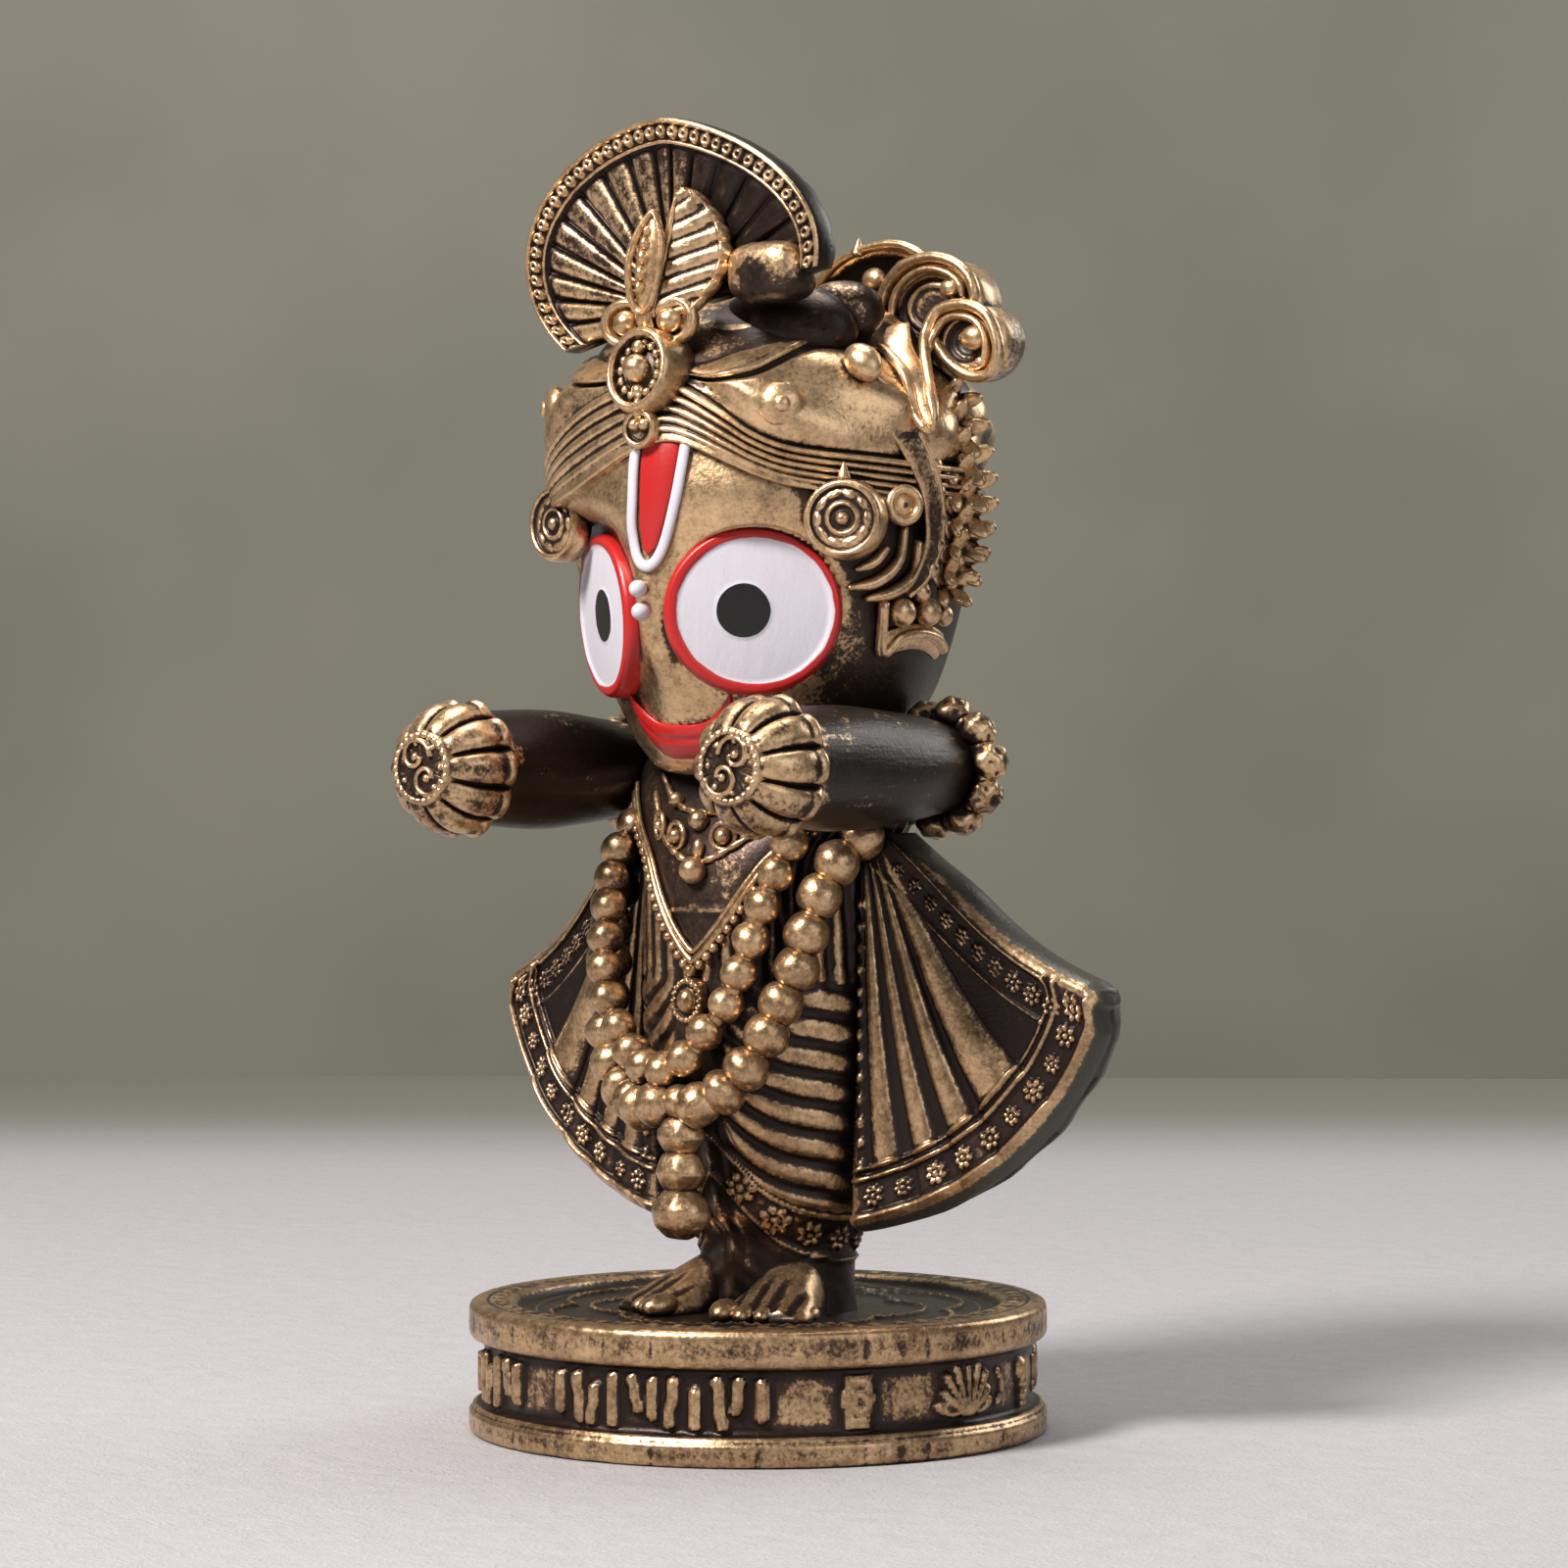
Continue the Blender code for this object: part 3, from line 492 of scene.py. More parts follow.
def through(knots, count):
    """Points evenly spaced along a smooth curve through some knots."""
    knots = np.asarray(knots, float)
    length = np.append(0, np.cumsum(np.linalg.norm(np.diff(knots[:, :3], axis=0), axis=1)))
    table = np.column_stack((length, knots))
    fine = np.linspace(0, length[-1], 400)
    curve = np.stack([eased(table, fine, k + 1) for k in range(knots.shape[1])], -1)
    run = np.append(0, np.cumsum(np.linalg.norm(np.diff(curve[:, :3], axis=0), axis=1)))
    wanted = np.linspace(0, run[-1], count)
    return np.stack([np.interp(wanted, run, curve[:, k]) for k in range(knots.shape[1])], -1)


def bead(middle, radii, axis=(0.0, 0.0, 1.0), around=16, rows=10):
    """An egg: rings of radius r sin t at height h cos t along its axis."""
    axis = np.asarray(axis, float)
    axis = axis / np.linalg.norm(axis)
    side = np.cross(axis, (0.0, 1.0, 0.0) if abs(axis[1]) < 0.9 else (1.0, 0.0, 0.0))
    side /= np.linalg.norm(side)
    other = np.cross(axis, side)
    t = np.linspace(0.12, math.pi - 0.12, rows)[:, None, None]
    p = round_steps(around)[None, :, None]
    return (
        np.asarray(middle, float)
        + radii[0] * np.sin(t) * (np.cos(p) * side + np.sin(p) * other * radii[1] / radii[0])
        + radii[2] * np.cos(t) * axis
    )


def axes(turn, tilt=0.0):
    """Across, up and out directions of a disc that faces a turn from the front, tilted up, in degrees."""
    t, e = math.radians(turn), math.radians(tilt)
    out = np.array((math.sin(t) * math.cos(e), -math.cos(t) * math.cos(e), math.sin(e)))
    across = np.array((math.cos(t), math.sin(t), 0.0))
    return across, np.cross(out, across), out


def medallion(middle, facing, radii, thick, relief, rows=34, around=80):
    """A disc with a carved front: its face is the polar grid (r, t) raised by relief(r, t), its side goes back
    by thick and its back is flat."""
    across, up, out = facing
    r = np.append(np.linspace(0.03, 1.0, rows), (1.03, 1.03, 0.9))[:, None]
    t = round_steps(around)[None, :]
    high = relief(np.minimum(r, 1.0), t)
    high = np.where(r > 1.0, 0.0, high) * np.ones_like(t)
    high[-3] = -0.35 * thick
    high[-2] = -0.9 * thick
    high[-1] = -thick
    x, y = radii[0] * r * np.cos(t), radii[1] * r * np.sin(t)
    return np.asarray(middle, float) + x[..., None] * across + y[..., None] * up + high[..., None] * out


def robe_place(angle, height, lift=0.0):
    """A point on the body: wide sin(angle) across and middle - deep cos(angle) in depth, at a height."""
    wide = eased(ROBE_SECTIONS, height, 1) + lift
    deep = eased(ROBE_SECTIONS, height, 2) + lift
    middle = eased(ROBE_SECTIONS, height, 3)
    return placed(wide * np.sin(angle), middle - deep * np.cos(angle), height)


def head_place(angle, height, lift=0.0):
    """A point on the bare head: a circle of the profile's radius about the profile's middle, at a height, a
    little fuller between the eyes."""
    radius = eased(HEAD_PROFILE, height) + lift
    middle = eased(HEAD_PROFILE, height, 2)
    turn = (angle + math.pi) % TURN - math.pi
    between = smooth(height, 54.5, 59.0) * (1 - smooth(height, 64.0, 69.0))
    radius = radius + 1.0 * soft_ridge(turn, 0.42) * between
    return placed(radius * np.sin(angle), middle - radius * np.cos(angle), height)


def drawn(place_on, knots, count, lift):
    """Points along a smooth curve through knots of angle and height, laid on the head or on the body."""
    knots = np.asarray(knots, float)
    path = through(np.column_stack((knots, np.zeros(len(knots)))), count)
    return place_on(np.radians(path[:, 0]), path[:, 1], lift)


def away(points, middle=(0.0, 1.5)):
    """Unit directions from an upright axis to each point."""
    out = np.asarray(points, float) * (1, 1, 0) - (middle[0], middle[1], 0)
    return out / np.linalg.norm(out, axis=-1, keepdims=True)


# ---- Materials ----


class Value:
    """A shader number that adds its Math nodes as it is used in an expression."""

    def __init__(self, tree, socket):
        self.tree, self.socket = tree, socket

    def math(self, operation, *others):
        """Adds one Math node of this value and others."""
        made = node(self.tree, "ShaderNodeMath", {"operation": operation}, {})
        for socket, value in zip(made.inputs, others):
            plug(self.tree, socket, value)
        return Value(self.tree, made.outputs[0])

    def __add__(self, other):
        return self.math("ADD", self, other)

    def __radd__(self, other):
        return self.math("ADD", other, self)

    def __sub__(self, other):
        return self.math("SUBTRACT", self, other)

    def __rsub__(self, other):
        return self.math("SUBTRACT", other, self)

    def __mul__(self, other):
        return self.math("MULTIPLY", self, other)

    def __rmul__(self, other):
        return self.math("MULTIPLY", other, self)

    def __truediv__(self, other):
        return self.math("DIVIDE", self, other)

    def root(self):
        return self.math("SQRT", self)

    def rise(self, low, high):
        """Rises smoothly from 0 at low to 1 at high."""
        made = node(
            self.tree,
            "ShaderNodeMapRange",
            {"interpolation_type": "SMOOTHSTEP"},
            {"Value": self, "From Min": low, "From Max": high},
        )
        return Value(self.tree, made.outputs[0])


def plug(tree, socket, value):
    """Links a value or another node's socket to a socket, or sets the socket to a constant."""
    if isinstance(value, Value):
        value = value.socket
    if isinstance(value, bpy.types.NodeSocket):
        tree.links.new(value, socket)
    else:
        socket.default_value = value


def node(tree, kind, settings, values):
    """Adds a node of a type: its settings are set first, then its sockets get their values or links."""
    made = tree.nodes.new(kind)
    for key, value in settings.items():
        setattr(made, key, value)
    for key, value in values.items():
        plug(tree, made.inputs[key], value)
    return made


def attribute(tree, name):
    return Value(tree, node(tree, "ShaderNodeAttribute", {"attribute_name": name}, {}).outputs["Fac"])


def noise(tree, place, scale, detail=3.0, rough=0.55, stretch=(1.0, 1.0, 1.0), shift=(0.0, 0.0, 0.0)):
    """Noise on object coordinates, in cells per millimetre, centred on 0 with a range of about 1."""
    mapped = node(
        tree,
        "ShaderNodeMapping",
        {},
        {"Vector": place, "Scale": [s * scale / MM for s in stretch], "Location": list(shift)},
    )
    made = node(
        tree,
        "ShaderNodeTexNoise",
        {},
        {"Vector": mapped.outputs[0], "Scale": 1.0, "Detail": detail, "Roughness": rough},
    )
    return (Value(tree, made.outputs[0]) - 0.5) * 2.0


def blend(tree, share, low, high):
    """Mixes two colours by a share."""
    made = node(tree, "ShaderNodeMix", {"data_type": "RGBA"}, {})
    for socket, value in zip([made.inputs[0], made.inputs[6], made.inputs[7]], (share, low, high)):
        plug(tree, socket, value)
    return made.outputs[2]


def solid(colour, share=(1.0, 1.0, 1.0)):
    """A colour with its channels scaled, and full alpha."""
    return tuple(min(1.0, channel * part) for channel, part in zip(colour, share)) + (1.0,)


def shader_of(name):
    """A new material's tree, its object coordinates and its main shader."""
    material = bpy.data.materials.new(name)
    material.use_nodes = True
    tree = material.node_tree
    place = node(tree, "ShaderNodeTexCoord", {}, {}).outputs["Object"]
    return material, tree, place, tree.nodes["Principled BSDF"]


def bronze_metal(name, gilding=0.0, streak=False):
    """Dark cast bronze with gold rubbed over what stands out: the gilt attribute, which on a few beads and
    knobs also holds painted light on their tops, less the hollow attribute, which holds the dark patina of
    the hollows together with painted shade where pieces crowd each other, broken up by fine and coarse
    noise, decides between ground, brown and gold. The UV map's first number turns the dark metal olive."""
    colours = bpy.context.scene.figure_colours
    material, tree, place, shader = shader_of(name)
    gilt_and_painted_light, hollow = attribute(tree, "gilt_and_painted_light"), attribute(tree, "hollow")
    split = node(
        tree, "ShaderNodeSeparateXYZ", {}, {"Vector": node(tree, "ShaderNodeUVMap", {}, {}).outputs[0]}
    )
    olive = Value(tree, split.outputs[0])
    grain = noise(tree, place, 3.4, 2.0, 0.65)
    speck = noise(tree, place, 1.25, 3.0, 0.6, shift=(3.0, 1.0, 2.0))
    patch = noise(tree, place, 0.26, 2.0, 0.5, shift=(7.0, 4.0, 9.0))
    # The hollow attribute darkens the hollows as patina and as painted shade between the pieces
    rubbed = gilt_and_painted_light * 1.35 - hollow * 1.9 + grain * 0.6 + speck * 0.62 + patch * 0.55 + gilding - 0.2
    # The body and the plinth are less rubbed than the head
    upright = Value(tree, node(tree, "ShaderNodeSeparateXYZ", {}, {"Vector": place}).outputs[2])
    low = 1.0 - upright.rise(45.0 * MM, 54.0 * MM)
    rubbed = rubbed - low * 0.12
    if streak:
        rubbed = rubbed + noise(tree, place, 1.6, 3.0, 0.6, stretch=(1.0, 0.12, 1.0)) * 0.6
    gold = rubbed.rise(-0.12, 0.5)
    brown = rubbed.rise(-0.95, 0.05)
    dark = solid(colours.brown, (0.5,) * 3 if streak else (1.0,) * 3)
    mid = blend(tree, olive, dark, solid(colours.olive))
    ground = blend(tree, olive * 0.5, solid(colours.ground), solid(colours.olive))
    sheen = patch * 0.45 + speck * 0.5 + grain * 0.45 + 0.55 - low * 0.22
    bright = blend(tree, sheen.rise(-0.1, 0.95), solid(colours.gold, DULL), solid(colours.gold, PALE))
    colour = blend(tree, gold, blend(tree, brown, ground, mid), bright)
    plug(tree, shader.inputs["Base Color"], colour)
    plug(tree, shader.inputs["Metallic"], gold * 0.25 + 0.65 - olive * 0.25)
    plug(tree, shader.inputs["Roughness"], 0.38 - gold * 0.07 + speck * 0.08 + grain * 0.05)
    height = grain * 0.6 + speck * 0.5
    if streak:
        height = height + noise(tree, place, 2.2, 3.0, 0.6, stretch=(1.0, 0.1, 1.0)) * 0.8
    roughen(tree, shader, height, 0.4, 0.00006)
    return material


def roughen(tree, shader, height, strength, distance):
    """Gives a shader small relief from a height."""
    bump = node(tree, "ShaderNodeBump", {}, {"Height": height, "Strength": strength, "Distance": distance})
    plug(tree, shader.inputs["Normal"], bump.outputs[0])


def brush_marks(tree, place, shader, colour, rough=0.34):
    """Gives a paint its slightly uneven colour, its gloss and the low marks of the brush."""
    marks = noise(tree, place, 0.9, 3.0, 0.5, stretch=(1.0, 1.0, 0.35))
    dust = noise(tree, place, 3.5, 2.0, 0.6)
    share = (marks * 0.6 + dust * 0.25 + 0.4).rise(0.0, 1.2)
    mixed = blend(tree, share, solid(colour), solid(colour, (0.82,) * 3))
    plug(tree, shader.inputs["Roughness"], rough + marks * 0.08 + dust * 0.04)
    roughen(tree, shader, marks + dust * 0.3, 0.3, 0.00008)
    return mixed


def paint(name, colour):
    """A brushed-on paint of one colour with faint marks."""
    material, tree, place, shader = shader_of(name)
    plug(tree, shader.inputs["Base Color"], brush_marks(tree, place, shader, colour))
    return material


def eye_paint():
    """The eye's paint, from the piece's own UV map in millimetres: black inside the pupil, white inside the
    inner oval and red outside it, each edge a little uneven."""
    colours = bpy.context.scene.figure_colours
    material, tree, place, shader = shader_of("eye_paint")
    split = node(
        tree, "ShaderNodeSeparateXYZ", {}, {"Vector": node(tree, "ShaderNodeUVMap", {}, {}).outputs[0]}
    )
    x, y = Value(tree, split.outputs[0]), Value(tree, split.outputs[1])
    wobble = noise(tree, place, 0.55, 2.0, 0.5) * 0.22
    white_reach = (((x - 0.15) / 5.95) * ((x - 0.15) / 5.95) + (y / 5.5) * (y / 5.5)).root() + wobble * 0.12
    pupil_reach = ((x - PUPIL_SHIFT) * (x - PUPIL_SHIFT) + y * y).root() + wobble * 0.35
    white = 1.0 - white_reach.rise(0.985, 1.01)
    black = 1.0 - pupil_reach.rise(2.0, 2.07)
    eye = blend(tree, white, solid(colours.red), solid(colours.white))
    eye = blend(tree, black, eye, (0.008, 0.008, 0.008, 1.0))
    shade = brush_marks(tree, place, shader, (1.0, 1.0, 1.0, 1.0))
    mixed = node(tree, "ShaderNodeMix", {"data_type": "RGBA", "blend_type": "MULTIPLY"}, {})
    for socket, value in zip([mixed.inputs[0], mixed.inputs[6], mixed.inputs[7]], (0.35, eye, shade)):
        plug(tree, socket, value)
    plug(tree, shader.inputs["Base Color"], mixed.outputs[2])
    return material


def finish_named(name):
    """A finish by name, made once and then shared."""
    if name in bpy.data.materials:
        return bpy.data.materials[name]
    colours = bpy.context.scene.figure_colours
    makers = {
        "rubbed_bronze": lambda: bronze_metal("rubbed_bronze"),
        "arm_bronze": lambda: bronze_metal("arm_bronze", -0.45, streak=True),
        "eye_paint": eye_paint,
        "red_paint": lambda: paint("red_paint", colours.red),
        "white_paint": lambda: paint("white_paint", colours.white),
    }
    return makers[name]()


# ---- Plinth ----


def plinth_form():
    """The plinth turned from its outline: rings at the outline's radius and height, raised by the carving of
    its waist, its top ring and its floor."""
    outline = np.array(PLINTH_OUTLINE)
    run = np.append(0, np.cumsum(np.linalg.norm(np.diff(outline, axis=0), axis=1)))
    floor, foot = run[1], run[-2]
    fine = int((foot - floor) / 0.2)
    at = np.concatenate(
        (
            np.linspace(0.0, 8.0, 8, endpoint=False),
            np.linspace(8.0, floor, 34, endpoint=False),
            np.linspace(floor, foot, fine, endpoint=False),
            np.linspace(foot, run[-1], 6),
        )
    )
    radius = np.interp(at, run, outline[:, 0])
    height = np.interp(at, run, outline[:, 1])
    smoothing = spread(np.stack((radius, height), -1), 1, 0, False)
    inner = (at > floor - 1.0) & (at < foot + 0.5)
    radius = np.where(inner, smoothing[:, 0], radius)[:, None]
    height = np.where(inner, smoothing[:, 1], height)[:, None]
    angle = round_steps(500)[None, :]
    grid = placed(radius * np.sin(angle), -radius * np.cos(angle), height)
    degrees = np.degrees((angle + math.pi) % TURN - math.pi)
    around = np.radians(degrees) * 21.4
    relief = np.zeros(grid.shape[:2])
    waist = smooth(height, 2.3, 2.7) * (1 - smooth(height, 6.6, 7.0)) * (radius > 20.0)
    relief += waist * waist_carving(around, height)
    # Worn casting marks on the two plain bands
    band = (radius > 22.0) & ((height > 7.4) | (height < 2.1))
    relief -= band * 0.05 * soft_ridge((around * 0.31 + np.sin(around * 0.9)) % 3.0 - 1.5, 0.35)
    relief -= 0.16 * ridge(height - 1.95, 0.14) * (radius > 21.9)
    # Leaf marks on the top ring, beside one turned line
    top = (height > 9.98) & (radius > 19.0)
    leaf = np.abs((degrees / 6.0) % 1.0 - 0.5)
    relief += top * 0.16 * ridge(np.hypot(leaf * 4.2, (radius - 20.1) / 0.55), 1.0)
    relief -= top * 0.13 * ridge(radius - 21.05, 0.16)
    # Bead lines round lotus petals on the floor
    on_floor = (radius < 17.9) & (height > 5.0)
    swing = np.radians(degrees)
    for reach, petals, shift in ((10.9, 6, 0.0), (14.4, 6, 0.5)):
        edge = reach + 2.2 * np.abs(np.cos((swing * petals / 2) + shift * math.pi)) ** 0.7
        line = soft_ridge((radius - edge) / 0.55, 0.75)
        beads = 0.45 + 0.55 * np.abs(np.sin(swing * reach * math.pi / 0.95))
        relief += on_floor * 0.4 * line * beads
    relief += on_floor * 0.2 * soft_ridge(radius - 17.3, 0.25)
    behind = smooth(np.abs(degrees), 95.0, 150.0)
    form = Form()
    gilt_and_painted_light = np.where(height < 0.3, -0.6, 0.0) + on_floor * -0.6 + waist * 0.25 + band * 0.05
    form.add(grid, relief, gilt_and_painted_light - 0.2 * behind, olive=0.5 * behind)
    return form


def waist_carving(around, height):
    """Carving round the waist, in millimetres round and up: rows of plain strokes in front, then a jar, a
    lotus, a mace and discs on to the back."""
    high = np.zeros(np.broadcast(around, height).shape)
    for first, last in ((-16.6, -6.4), (-2.7, 15.2)):
        row = []
        count = int(round((last - first) / 1.65))
        for k in range(count):
            x = first + 0.8 + (last - first - 1.6) * k / max(count - 1, 1)
            lean = (0.0, 0.35, -0.3, 0.0, 0.45, 0.0, -0.4)[k % 7]
            low, top = ((2.95, 6.35), (3.7, 6.1), (2.95, 5.4), (4.2, 6.35), (3.1, 6.2))[(k * 3 + count) % 5]
            row.append((x, top, x + lean, low))
        high = np.maximum(high, plateau(to_strokes(around, height, row), 0.42, 0.2))
    # Jar with rings and a shell on it
    x, z = around - 21.6, height
    half = 0.95 + 0.35 * soft_ridge(z - 4.9, 1.5) + 0.2 * soft_ridge(z - 6.7, 0.5)
    jar = plateau(np.maximum(np.abs(x) - half, np.abs(z - 4.7) - 2.15), 0.0, 0.25)
    rings = soft_ridge((z % 0.95) - 0.47, 0.3) * (np.abs(z - 4.6) > 1.1)
    curl = np.hypot(x - 0.1, (z - 4.6) * 0.9)
    high = np.maximum(high, jar * (0.75 + 0.3 * rings + 0.45 * soft_ridge(curl - 0.6, 0.28)))
    # Lotus
    for middle in (31.5, -38.0):
        x, z = around - middle, height - 2.7
        petals = []
        for k in range(7):
            lean = math.radians(-54 + 18 * k)
            length = 4.15 - 0.13 * abs(k - 3) ** 2
            petals.append((0.5 * math.sin(lean), 0.4, length * math.sin(lean), 0.3 + length * math.cos(lean)))
        distance = to_strokes(x, z, petals)
        high = np.maximum(high, 0.95 * ridge(distance, 0.34))
        leaves = np.hypot((np.abs(x) - 1.9) / 1.4, (z - 0.35 - 0.25 * np.abs(x)) / 0.6)
        high = np.maximum(high, 0.8 * ridge(leaves, 1.0) * (0.6 + 0.4 * smooth(leaves, 0.2, 0.7)))
    # Mace, wheels and small flowers on the far side
    for middle in (39.8, -46.0):
        x, z = around - middle, height
        shaft = np.maximum(np.abs(x) - 0.32 - 0.12 * np.cos(z * 7.0), np.abs(z - 4.0) - 1.3)
        knob = np.hypot(x / 1.0, (z - 5.6) / 0.95)
        high = np.maximum(high, np.maximum(plateau(shaft, 0.0, 0.2), ridge(knob, 1.0)))
    for middle in (49.5, 58.5, 67.0, -57.0, -66.0):
        x, z = around - middle, height - 4.7
        reach = np.hypot(x, z)
        high = np.maximum(high, 0.8 * ridge(reach - 1.75, 0.3))
        high = np.maximum(high, 0.8 * rosette(x, z, 1.35, 8))
    for middle in (35.7, 44.6, 54.0, 62.8, -25.5, -31.8, -42.0, -51.5, -61.5):
        x, z = around - middle, height - 4.7
        high = np.maximum(high, 0.6 * ridge(np.abs(np.hypot(x + 0.8, z) - 1.3), 0.22) * (x > -0.3))
    return 0.62 * high


# ---- Body, robe and feet ----


def hem_height(degrees):
    """Height of the middle of the robe's flowered border at an angle from the front."""
    knots = ((0.0, 22.0), (16.4, 19.2), (31.6, 16.9), (56.0, 15.5), (90.0, 15.0), (180.0, 15.0))
    return eased(knots, degrees)


def robe_form():
    """The body and wrapped robe: the body's oval sections raised by hanging folds, the flowered border, the
    front pleats, the chest cloth and its fine weave."""
    height = np.concatenate((steps(8.6, 14.0, 16), steps(14.1, 36.0, 104), steps(36.2, 54.5, 56)))[:, None]
    angle = round_steps(260)[None, :]
    grid = robe_place(angle, height)
    signed = np.degrees((angle + math.pi) % TURN - math.pi)
    degrees = np.abs(signed)
    border = hem_height(degrees)
    above = height - border
    # Hanging folds: ridges with sharp valleys, level at the sides and steep towards the front
    fold = (height - 8.0 * np.exp(-degrees / 20.0) + 0.018 * np.maximum(degrees - 60, 0)) / 2.3
    swing = np.abs((fold % 1.0) - 0.5) * 2
    rounded = np.sqrt(np.clip(1 - (swing * 0.97) ** 2.4, 0, 1))
    strength = smooth(above, 1.6, 2.6) * (1 - smooth(height, 33.5, 37.0)) * smooth(degrees, 10.0, 18.0)
    strength = strength * (1 - 0.45 * smooth(degrees, 120.0, 165.0))
    relief = strength * (0.85 * rounded - 0.5)
    # Border between two thin raised lines, with flowers
    on_border = 1 - smooth(np.abs(above), 1.5, 1.7)
    relief = relief + 0.34 * soft_ridge(above - 1.65, 0.3) + 0.3 * soft_ridge(above + 1.65, 0.28)
    for place in (16.4, 34.0, 56.4, 82.0, 108.0, 134.0, 160.0):
        reach = 1.25 if place < 40 else 1.05
        level = float(hem_height(place))
        radius = float(eased(ROBE_SECTIONS, level)) * 0.92
        dx, dy = np.radians(degrees - place) * radius, height - level
        tipped = 0.5 if place < 60 else 0.0
        dx, dy = dx * math.cos(tipped) - dy * math.sin(tipped), dx * math.sin(tipped) + dy * math.cos(tipped)
        relief = np.maximum(relief, 0.42 * rosette(dx, dy, reach))
    # Front pleats under the tassel and wraps above the ankles
    front = smooth(-above, 1.6, 2.2) * (1 - smooth(degrees, 60.0, 100.0)) * smooth(height, 9.0, 10.5)
    relief = relief + front * 0.1 * np.sin(np.radians(degrees) * 9 + height * 1.9)
    middle = (1 - smooth(degrees, 7.0, 12.0)) * smooth(height, 12.0, 15.0) * (1 - smooth(height, 26.0, 30.0))
    relief = relief + middle * 0.12 * np.cos(np.radians(signed) * 24)
    # Chest: a panel of fine cloth with its border line
    side = np.clip(degrees / 52.0, 0, 1)
    chain = 36.6 + 13.0 * side**1.25
    panel = smooth(height, chain + 0.2, chain + 0.6) * (degrees < 52)
    relief = relief + panel * 0.22 * soft_ridge(height - 40.7 + 0.004 * degrees**1.6, 0.24)
    weave = np.sin(height * 14.0) * np.sin(np.radians(signed) * 130.0)
    relief = relief + panel * 0.035 * weave
    below = smooth(chain, height + 0.5, height + 2.0) * smooth(height, 34.0, 36.0)
    below = below * (1 - 0.75 * smooth(degrees, 70.0, 120.0))
    relief = relief + below * 0.2 * np.cos(np.radians(signed) * 34.0 + height * 0.25)
    form = Form()
    gilt_and_painted_light = -0.34 * panel - 0.2 * below * (height > 36) + strength * (0.3 - 1.25 * swing) - 0.1 * on_border
    gilt_and_painted_light = gilt_and_painted_light - 0.35 * (height < 14.0) - 0.35 * smooth(degrees, 62.0, 88.0) - 0.35 * middle - 0.25 * front
    form.add(grid, relief, gilt_and_painted_light, olive=0.7 * smooth(degrees, 100.0, 140.0))
    return form


def feet_form():
    """Bare feet turned out a little: rings across the foot whose half width and height come from tables, and
    egg-shaped toes."""
    side = Form()
    swing = math.radians(16.0)
    turn = np.array(((math.cos(swing), -math.sin(swing), 0), (math.sin(swing), math.cos(swing), 0), (0, 0, 1)))
    heel = np.array((3.7, 0.3, 9.35))
    half = ((-8.0, 2.9), (-7.0, 3.5), (-5.0, 3.5), (-3.0, 3.0), (-0.5, 2.6), (2.0, 2.4), (4.2, 1.3))
    tall = ((-8.0, 0.75), (-7.0, 1.3), (-5.0, 2.3), (-3.0, 3.4), (-0.5, 4.4), (2.0, 4.4), (4.2, 1.3))
    y = steps(-8.0, 4.2, 44)[:, None]
    t = round_steps(44)[None, :]
    wave = np.maximum(np.sin(t), -0.45)
    x = eased(half, y) * np.sign(np.cos(t)) * np.abs(np.cos(t)) ** 0.85
    z = eased(tall, y) * wave
    tendons = 0.16 * np.cos(x / 0.78 * math.pi) * smooth(-y, 3.0, 6.0) * smooth(wave, 0.3, 0.8)
    side.add(heel + placed(x, y + 0 * x, z + tendons) @ turn.T, gilt_and_painted_light=-0.25)
    for n in range(5):
        across = -2.9 + 1.5 * n
        size = 1.1 if n == 0 else 0.86 - 0.04 * n
        place = heel + turn @ np.array((across, -8.1 + 0.17 * n * n, size * 0.7 - 0.15))
        side.add(bead(place, (size * 0.88, size, size * 1.5), turn @ (0, 1, 0.12), 18, 12), gilt_and_painted_light=-0.1)
    form = Form()
    form.take(side, -1)
    form.take(side)
    return form


